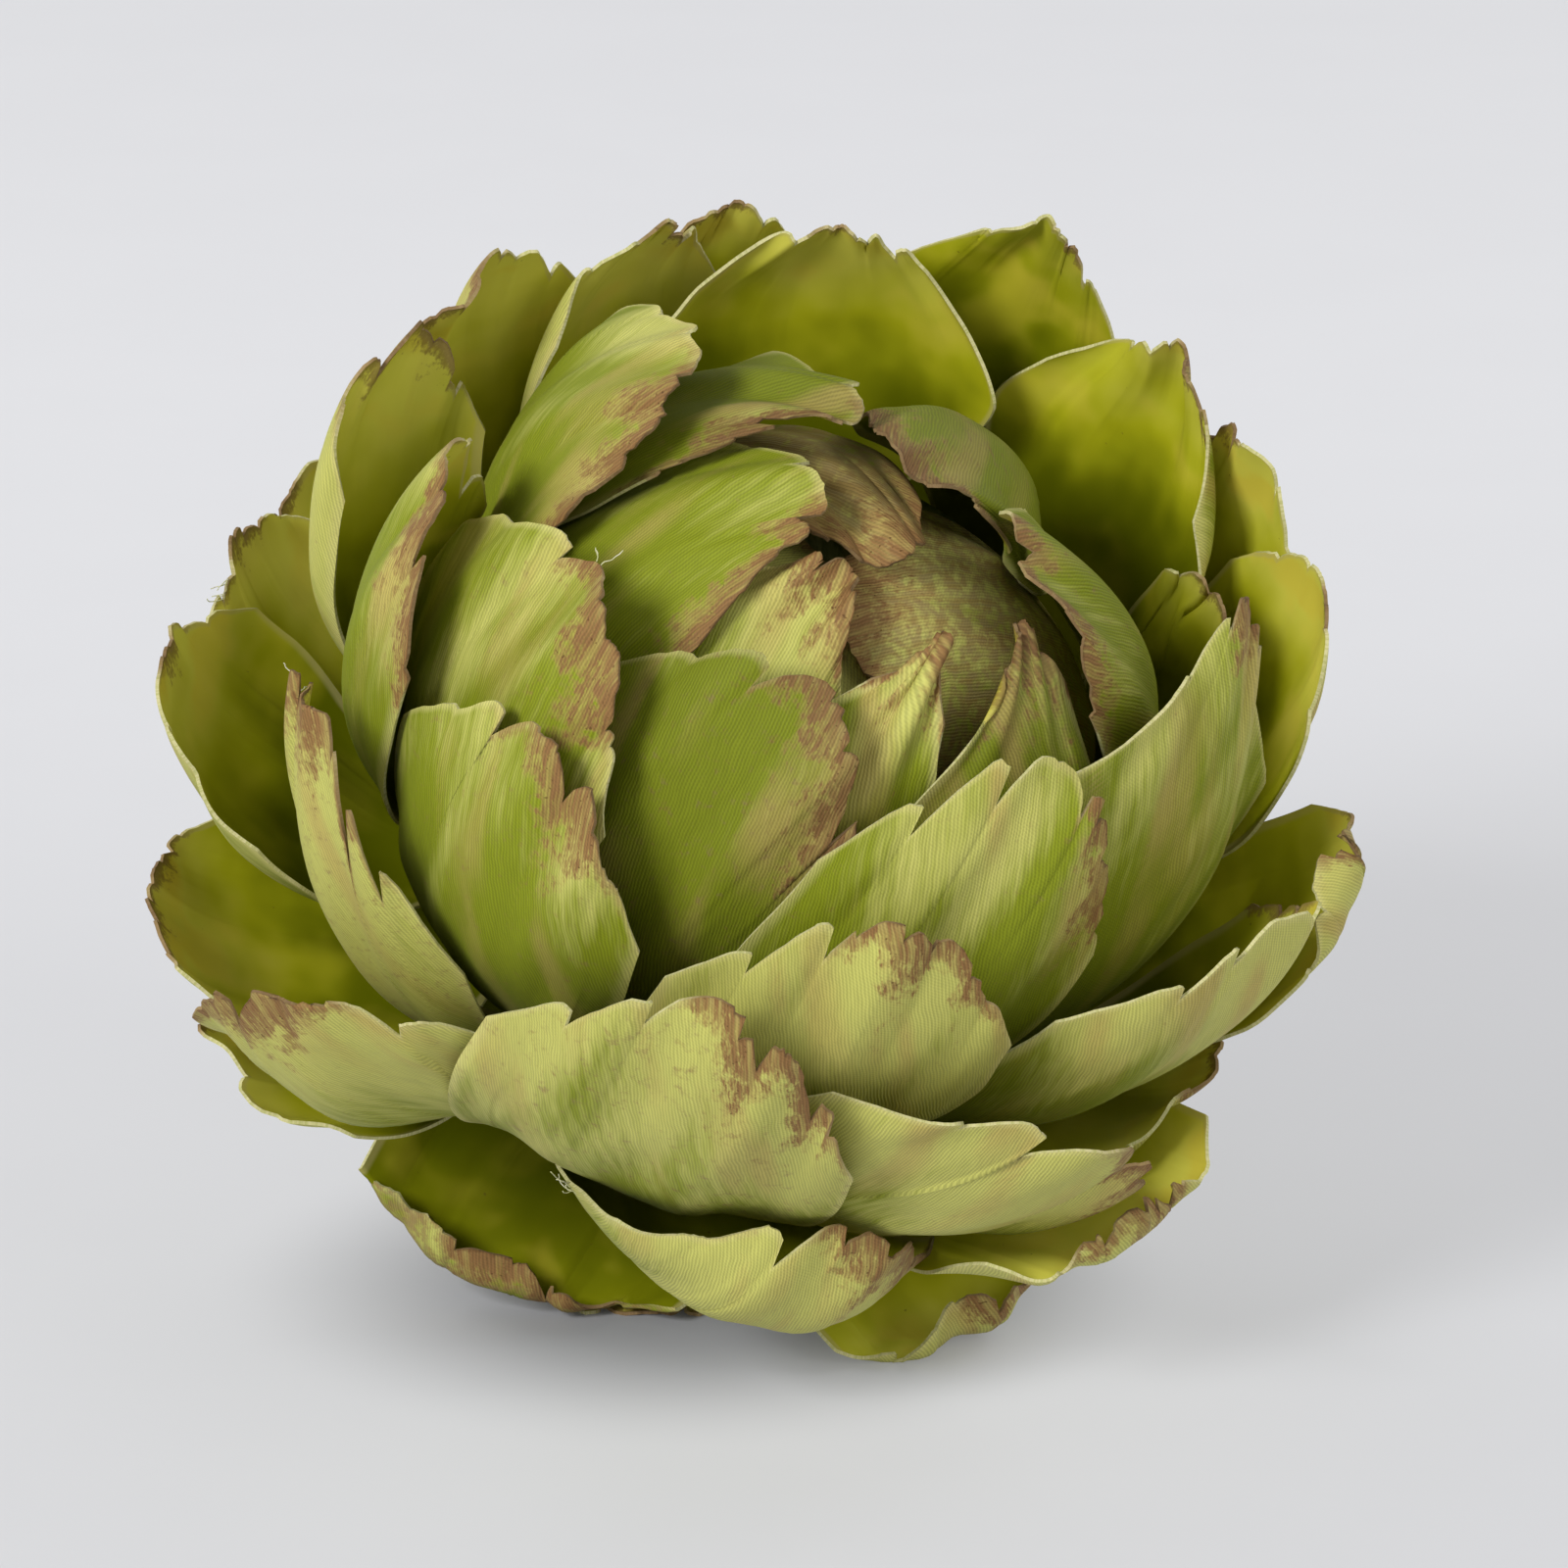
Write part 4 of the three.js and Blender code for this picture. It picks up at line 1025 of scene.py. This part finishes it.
# %% Material: cut edge
FRAY_HEIGHT = 0.05 * MM
CUT_PALE, CUT_GREEN = (0.62, 0.58, 0.3, 1), (0.45, 0.45, 0.16, 1)


def cut_edge():
    material, s = new_material("leaf_cut_edge")
    place = cloth_place(s)
    fray = s.noise(place, 4.0, 2.0, 0.6)
    colour = s.mix(s.remap(fray, 0.35, 0.7), CUT_PALE, CUT_GREEN)
    spray = sprayed(s, place, "edge")
    colour = s.mix(s.times(spray["Brown"], 0.8), colour, RUST)
    colour = s.mix(s.times(spray["Line"], 0.6), colour, DARK_BROWN)
    bump = s.bump(fray, FRAY_HEIGHT, 0.6)
    finish_cloth(s, colour, through=0.2, Normal=bump, Roughness=0.85)
    return material


EDGE = cut_edge()
print(EDGE.name, "has", len(EDGE.node_tree.nodes), "nodes")

# %% [markdown]
# Now every leaf is made, rides on the part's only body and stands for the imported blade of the
# same name.

# %% Make the leaves
faces = 0
for index, shape in enumerate(LEAVES):
    name = "cloth_" + shape["name"]
    mesh = cloth_mesh(name, shape, index)
    for material in (OUTSIDE, INSIDE, EDGE):
        mesh.materials.append(material)
    piece = put(name, mesh)
    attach(piece, "root")
    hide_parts("leaf_" + shape["name"])
    faces += len(mesh.polygons)
print(len(LEAVES), "leaves with", faces, "faces")

# %% [markdown]
# In a few places the snipped cloth has frayed, and single threads stand off the cut. Each is a
# thin closed tube along a line that starts on the cut and wanders, always the same way for the
# same seed. Hair curves would be shorter to write, but tubes are a mesh, as the leaves are. The
# list names a leaf, the place across and up it, how many threads there are and how long they are
# in millimetres.

# %% Loose threads
THREAD_RADIUS, THREAD_SIDES, THREAD_STEPS, THREAD_WANDER = 0.055, 5, 10, 0.9
BUNCH, ROWS_BACK = 0.16, 8
FRAYED = [
    ("outer_20", 0.36, 1.0, 6, 2.2),
    ("outer_2", -0.96, 1.0, 3, 2.4),
    ("outer_17", -1.0, 0.58, 5, 2.6),
    ("middle_6", 1.0, 0.63, 4, 2.4),
    ("middle_3", -0.14, 1.0, 3, 2.0),
]


def thread_line(start, away, length, seed):
    line, way = [start], away
    for k in range(THREAD_STEPS):
        bend = np.array([draw(seed + k, axis) for axis in (96, 97, 98)]) - 0.5
        way = unit(way + THREAD_WANDER * bend)
        line.append(line[-1] + way * length / THREAD_STEPS)
    return np.array(line)


def tube(line):
    """Corners and faces of a closed tube round a line."""
    way = unit(np.gradient(line, axis=0))
    side = unit(np.cross(way, HEAD_AXIS))[:, None]
    turn = (np.arange(THREAD_SIDES) * 2 * math.pi / THREAD_SIDES)[:, None]
    other = np.cross(way[:, None], side)
    corners = line[:, None] + THREAD_RADIUS * (np.cos(turn) * side + np.sin(turn) * other)
    rings = [[ring * THREAD_SIDES + k for k in range(THREAD_SIDES)] for ring in range(len(line))]
    walls = [[a[k - 1], a[k], b[k], b[k - 1]]
             for a, b in zip(rings, rings[1:]) for k in range(THREAD_SIDES)]
    return corners.reshape(-1, 3), [rings[0][::-1], *walls, rings[-1]]


def loose_threads():
    corners, faces, used = [], [], 0
    named = [shape["name"] for shape in LEAVES]
    for place, (name, across, up, count, length) in enumerate(FRAYED):
        index = named.index(name)
        u, _, points, _ = fine_sheet(LEAVES[index], index)
        row = int(np.abs(FINE_ROWS - up).argmin())
        middle_point = points[max(row - ROWS_BACK, 0), len(u) // 2]
        for k in range(count):
            seed = 20 * place + 3.7 * k
            column = int(np.abs(u - across - BUNCH * (draw(seed, 99) - 0.5)).argmin())
            start = points[row, column]
            line = thread_line(start, unit(start - middle_point), length * (0.5 + draw(seed, 100)), seed)
            line[:, 2] = np.maximum(line[:, 2], THREAD_RADIUS)
            more, walls = tube(line)
            faces += [[used + corner for corner in wall] for wall in walls]
            corners.append(more)
            used += len(more)
    return new_mesh("loose_threads", (np.concatenate(corners) * MM).tolist(), faces)


threads = put("loose_threads", loose_threads())
print("loose threads have", len(threads.data.polygons), "faces")

# %% [markdown]
# The dye never reached the middle of the cloth, so frayed threads are almost white. A little green
# shows where the dye ran along them. They belong to the leaf cloth and are one piece on the
# part's only body.

# %% Material: loose threads
THREAD_ROUGHNESS = 0.03 * MM
UNDYED, HALF_DYED = (0.8, 0.78, 0.62, 1), (0.55, 0.56, 0.26, 1)


def thread_finish():
    material, s = new_material("loose_thread")
    along = s.noise(s.place(), 700.0, 2.0, 0.6)
    colour = s.mix(s.remap(along, 0.35, 0.65), UNDYED, HALF_DYED)
    bump = s.bump(along, THREAD_ROUGHNESS, 0.5)
    finish_cloth(s, colour, through=0.3, Normal=bump, Roughness=0.8)
    return material


threads.data.materials.append(thread_finish())
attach(threads, "root")
print("threads are made of", threads.data.materials[0].name)

# %% [markdown]
# The heart is turned round the head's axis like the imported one, from the cut face of the stem to
# the bud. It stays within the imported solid: shallow flutes run down the stem, the cut face is
# slightly hollow, and small dents mark where leaves were pressed in. From the front it is only a
# dark gap between the leaves, but from behind its underside and the stem can be seen.

# %% Shape of the heart
HEART_SEGMENTS, HEART_RINGS, STEM_RINGS = 96, 40, 10
CUT_FACE_RINGS = 4
FLUTES, FLUTE_DEPTH, DENT_DEPTH = 11, 0.25, 0.35


def heart_profile():
    """Distance from the axis and place along it, from the middle of the cut face to the bud."""
    cut = -HEART["toward_stem"] - STEM_LENGTH
    meets = math.acos(-math.sqrt(1 - (STEM_RADIUS / HEART["side"]) ** 2))
    profile = [(0.0, cut + 0.7), (0.3 * STEM_RADIUS, cut + 0.6), (0.6 * STEM_RADIUS, cut + 0.3),
               (STEM_RADIUS - 0.9, cut), (STEM_RADIUS - 0.3, cut + 0.15), (STEM_RADIUS, cut + 0.8)]
    top = HEART["toward_stem"] * math.cos(meets)
    profile += [(STEM_RADIUS, z) for z in np.linspace(cut + 0.8, top, STEM_RINGS)[1:-1]]
    for k in range(HEART_RINGS + 1):
        polar = meets * (1 - k / HEART_RINGS)
        along = HEART["toward_stem"] if polar > math.pi / 2 else HEART["toward_bud"]
        profile.append((HEART["side"] * math.sin(polar), along * math.cos(polar)))
    return np.array(profile)


def heart_mesh():
    profile = heart_profile()
    turn = np.linspace(0, 2 * math.pi, HEART_SEGMENTS, endpoint=False)
    out, along = (np.repeat(profile[:, k][:, None], HEART_SEGMENTS, 1) for k in range(2))
    on_stem = along < HEART["toward_stem"] * -0.97
    flutes = FLUTE_DEPTH * (1 + np.sin(FLUTES * turn + 0.12 * along)) * (out > 0.8 * STEM_RADIUS)
    dents = DENT_DEPTH * np.clip(np.sin(8 * turn + 0.35 * along) * np.sin(0.9 * along), 0, 1)
    out = np.maximum(out - np.where(on_stem, flutes, dents * (out > STEM_RADIUS)), 0)
    points = (HEART_CENTRE + along[..., None] * HEAD_AXIS
              + out[..., None] * (np.cos(turn)[:, None] * BELOW + np.sin(turn)[:, None] * BESIDE))
    rings = len(profile)
    grid = np.arange(rings * HEART_SEGMENTS).reshape(rings, HEART_SEGMENTS)
    after = np.roll(grid, -1, 1)
    faces = np.stack([grid[:-1], after[:-1], after[1:], grid[1:]], -1).reshape(-1, 4)
    mesh = new_mesh("heart_core", (points.reshape(-1, 3) * MM).tolist(), faces.tolist())
    on_cut = np.arange(len(faces)) < CUT_FACE_RINGS * HEART_SEGMENTS
    mesh.polygons.foreach_set("material_index", on_cut.astype(np.int32))
    keep_numbers(mesh, {"out": out, "along": along, "turn": turn + 0 * out})
    net = bmesh.new()
    net.from_mesh(mesh)
    bmesh.ops.remove_doubles(net, verts=net.verts, dist=0.001 * MM)
    net.to_mesh(mesh)
    net.free()
    return mesh


core = put("heart_core", heart_mesh())
print("heart has", len(core.data.polygons), "faces")

# %% [markdown]
# The part of the heart that shows has to look grown: a waxy green skin with fibres down the stem,
# and a pale pith in the cut, browned at its rim. Both are made of noise at the size of plant
# fibres, some of it stretched along the stem.

# %% Materials: heart skin and stem cut
SKIN_RELIEF, PITH_RELIEF = 0.3 * MM, 0.2 * MM
SKIN_DARK, SKIN_GREEN = (0.09, 0.12, 0.015, 1), (0.2, 0.23, 0.05, 1)
FIBRE, PRESSED_BROWN = (0.34, 0.33, 0.13, 1), (0.2, 0.13, 0.05, 1)
PITH, OLD_PITH, CUT_RING = (0.5, 0.45, 0.24, 1), (0.4, 0.33, 0.14, 1), (0.16, 0.1, 0.03, 1)


def heart_skin():
    """Waxy green with fibres along the stem and small brown specks all over."""
    material, s = new_material("heart_skin")
    place = s.place()
    grain = s.noise(place, 900.0, 3.0, 0.6)
    patches = s.noise(place, 60.0, 3.0, 0.6)
    down_stem = s.vector(s.times(s.number("turn"), 9.0), s.times(s.number("along"), 0.15))
    fibres = s.noise(down_stem, 2.0, 3.0)
    colour = s.mix(s.remap(patches, 0.3, 0.7), SKIN_DARK, SKIN_GREEN)
    colour = s.mix(s.remap(fibres, 0.4, 0.7, 0.0, 0.6), colour, FIBRE)
    colour = s.mix(s.remap(grain, 0.55, 0.8, 0.0, 0.5), colour, PRESSED_BROWN)
    bump = s.bump(s.plus(s.times(grain, 0.4), fibres), SKIN_RELIEF, 0.6)
    shader = s.add("BsdfPrincipled", {"Base Color": colour, "Roughness": 0.75, "Normal": bump})
    s.add("OutputMaterial", {0: shader.outputs[0]})
    return material


def stem_cut():
    """The cut face: a pale pith with dark threads in it, and a browned ring round it."""
    material, s = new_material("stem_cut")
    place = s.place()
    out = s.number("out")
    threads = s.add("TexVoronoi", {"Vector": place, "Scale": 1100.0}).outputs["Distance"]
    cloud = s.noise(place, 400.0, 3.0, 0.6)
    colour = s.mix(s.remap(cloud, 0.3, 0.7), PITH, OLD_PITH)
    colour = s.mix(s.remap(threads, 0.2, 0.05, 0.0, 0.7), colour, PRESSED_BROWN)
    ring = s.remap(s.plus(out, cloud), STEM_RADIUS - 2.2, STEM_RADIUS - 0.4)
    colour = s.mix(s.times(ring, 0.8), colour, CUT_RING)
    bump = s.bump(threads, PITH_RELIEF, 0.5)
    shader = s.add("BsdfPrincipled", {"Base Color": colour, "Roughness": 0.85, "Normal": bump})
    s.add("OutputMaterial", {0: shader.outputs[0]})
    return material


for material in (heart_skin(), stem_cut()):
    core.data.materials.append(material)
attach(core, "root")
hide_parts("heart")
print("heart is made of", [material.name for material in core.data.materials])

# %% [markdown]
# The head lies on a pale table that sweeps up behind it, as in a studio. One curved sheet does
# both, so there is no corner to see.

# %% Table and backdrop
TABLE_FRONT, TABLE_BACK, SWEEP_RADIUS, STAGE_SIDE, SWEEP_STEPS = -3.0, 1.7, 1.2, 3.0, 24
PAPER, PAPER_FIBRE = (0.3, 0.303, 0.318, 1), (0.306, 0.309, 0.324, 1)
SHADOW_X, SHADOW_Y, SHADOW_SQUASH = -0.006, 0.012, 1.1
SHADOW_INNER, SHADOW_OUTER, SHADOW_GLOW = 0.016, 0.052, 0.04
NEAR_Y, NEAR_GLOW, FAR_Y, FAR_GLOW = -0.08, 0.35, 0.4, 0.44
COOL_RED, COOL_GREEN = 0.98, 0.985


def paper_with_painted_glow():
    """Pale paper with a painted glow for light from all round: it grows towards the back and fades close to
    the head into a painted shadow.
    """
    material, s = new_material("pale_paper_painted_glow")
    place = s.place()
    colour = s.mix(s.remap(s.noise(place, 30.0, 3.0), 0.3, 0.7), PAPER, PAPER_FIBRE)
    x, y, _ = s.axes(place)
    # Painted shadow and painted light: the glow fades in an oval close under the head and grows from the
    # front of the table to the back.
    across = s.math("POWER", s.plus(x, -SHADOW_X), 2.0)
    along = s.math("POWER", s.times(s.plus(y, -SHADOW_Y), SHADOW_SQUASH), 2.0)
    away = s.math("SQRT", s.plus(across, along))
    glow = s.times(s.remap(away, SHADOW_INNER, SHADOW_OUTER, SHADOW_GLOW, 1.0),
                   s.remap(y, NEAR_Y, FAR_Y, NEAR_GLOW, FAR_GLOW))
    cool = s.add("CombineColor", {0: s.times(glow, COOL_RED), 1: s.times(glow, COOL_GREEN), 2: glow})
    shader = s.add("BsdfPrincipled", {"Base Color": colour, "Roughness": 0.9, "Specular IOR Level": 0.2,
                                      "Emission Color": cool.outputs[0], "Emission Strength": 1.0})
    s.add("OutputMaterial", {0: shader.outputs[0]})
    material.cycles.emission_sampling = "NONE"
    return material


def sweep_stage():
    profile = [(TABLE_FRONT, 0.0), (TABLE_BACK, 0.0)]
    profile += [(TABLE_BACK + SWEEP_RADIUS * math.sin(a), SWEEP_RADIUS * (1 - math.cos(a)))
                for a in np.linspace(0, math.radians(80), SWEEP_STEPS)[1:]]
    end_y, end_z = profile[-1]
    profile.append((end_y + 0.2, end_z + 1.0))
    vertices = [(x, y, z) for y, z in profile for x in (-STAGE_SIDE, STAGE_SIDE)]
    faces = [(2 * k, 2 * k + 1, 2 * k + 3, 2 * k + 2) for k in range(len(profile) - 1)]
    mesh = new_mesh("table", vertices, faces)
    mesh.materials.append(paper_with_painted_glow())
    stage = put("table", mesh)


sweep_stage()
print("stage set")

# %% [markdown]
# The main light is a soft box high on the left. Four weaker ones, on the right, low in front and
# behind, and a pale sky keep the shadows open. No film curve is used, so dyes stay as mixed.

# %% Light
SOFT_BOXES = {
    "left": ((-0.75, -1.0, 0.8), 0.45, 19.5),
    "right": ((0.9, -0.8, 0.7), 0.8, 6.0),
    "front": ((-0.1, -1.3, 0.2), 0.9, 3.0),
    "back_left": ((-0.8, 0.6, 0.7), 0.6, 3.5),
    "back_right": ((0.8, 0.6, 0.7), 0.6, 3.5),
}
SKY, SKY_STRENGTH = (0.99, 0.98, 1.0, 1), 0.3


def soft_box(name, place, size, power):
    light = bpy.data.lights.new(name, "AREA")
    light.shape, light.size, light.energy = "SQUARE", size, power
    lamp = put(name, light)
    lamp.location = place
    toward = Vector(HEART_CENTRE * MM) - Vector(place)
    lamp.rotation_euler = toward.to_track_quat("-Z", "Y").to_euler()


for name, (place, size, power) in SOFT_BOXES.items():
    soft_box("soft_box_" + name, place, size, power)
world = bpy.data.worlds.new("studio")
bpy.context.scene.world = world
world.use_nodes = True
sky = world.node_tree.nodes["Background"]
sky.inputs["Color"].default_value = SKY
sky.inputs["Strength"].default_value = SKY_STRENGTH
bpy.context.scene.view_settings.view_transform = "Standard"
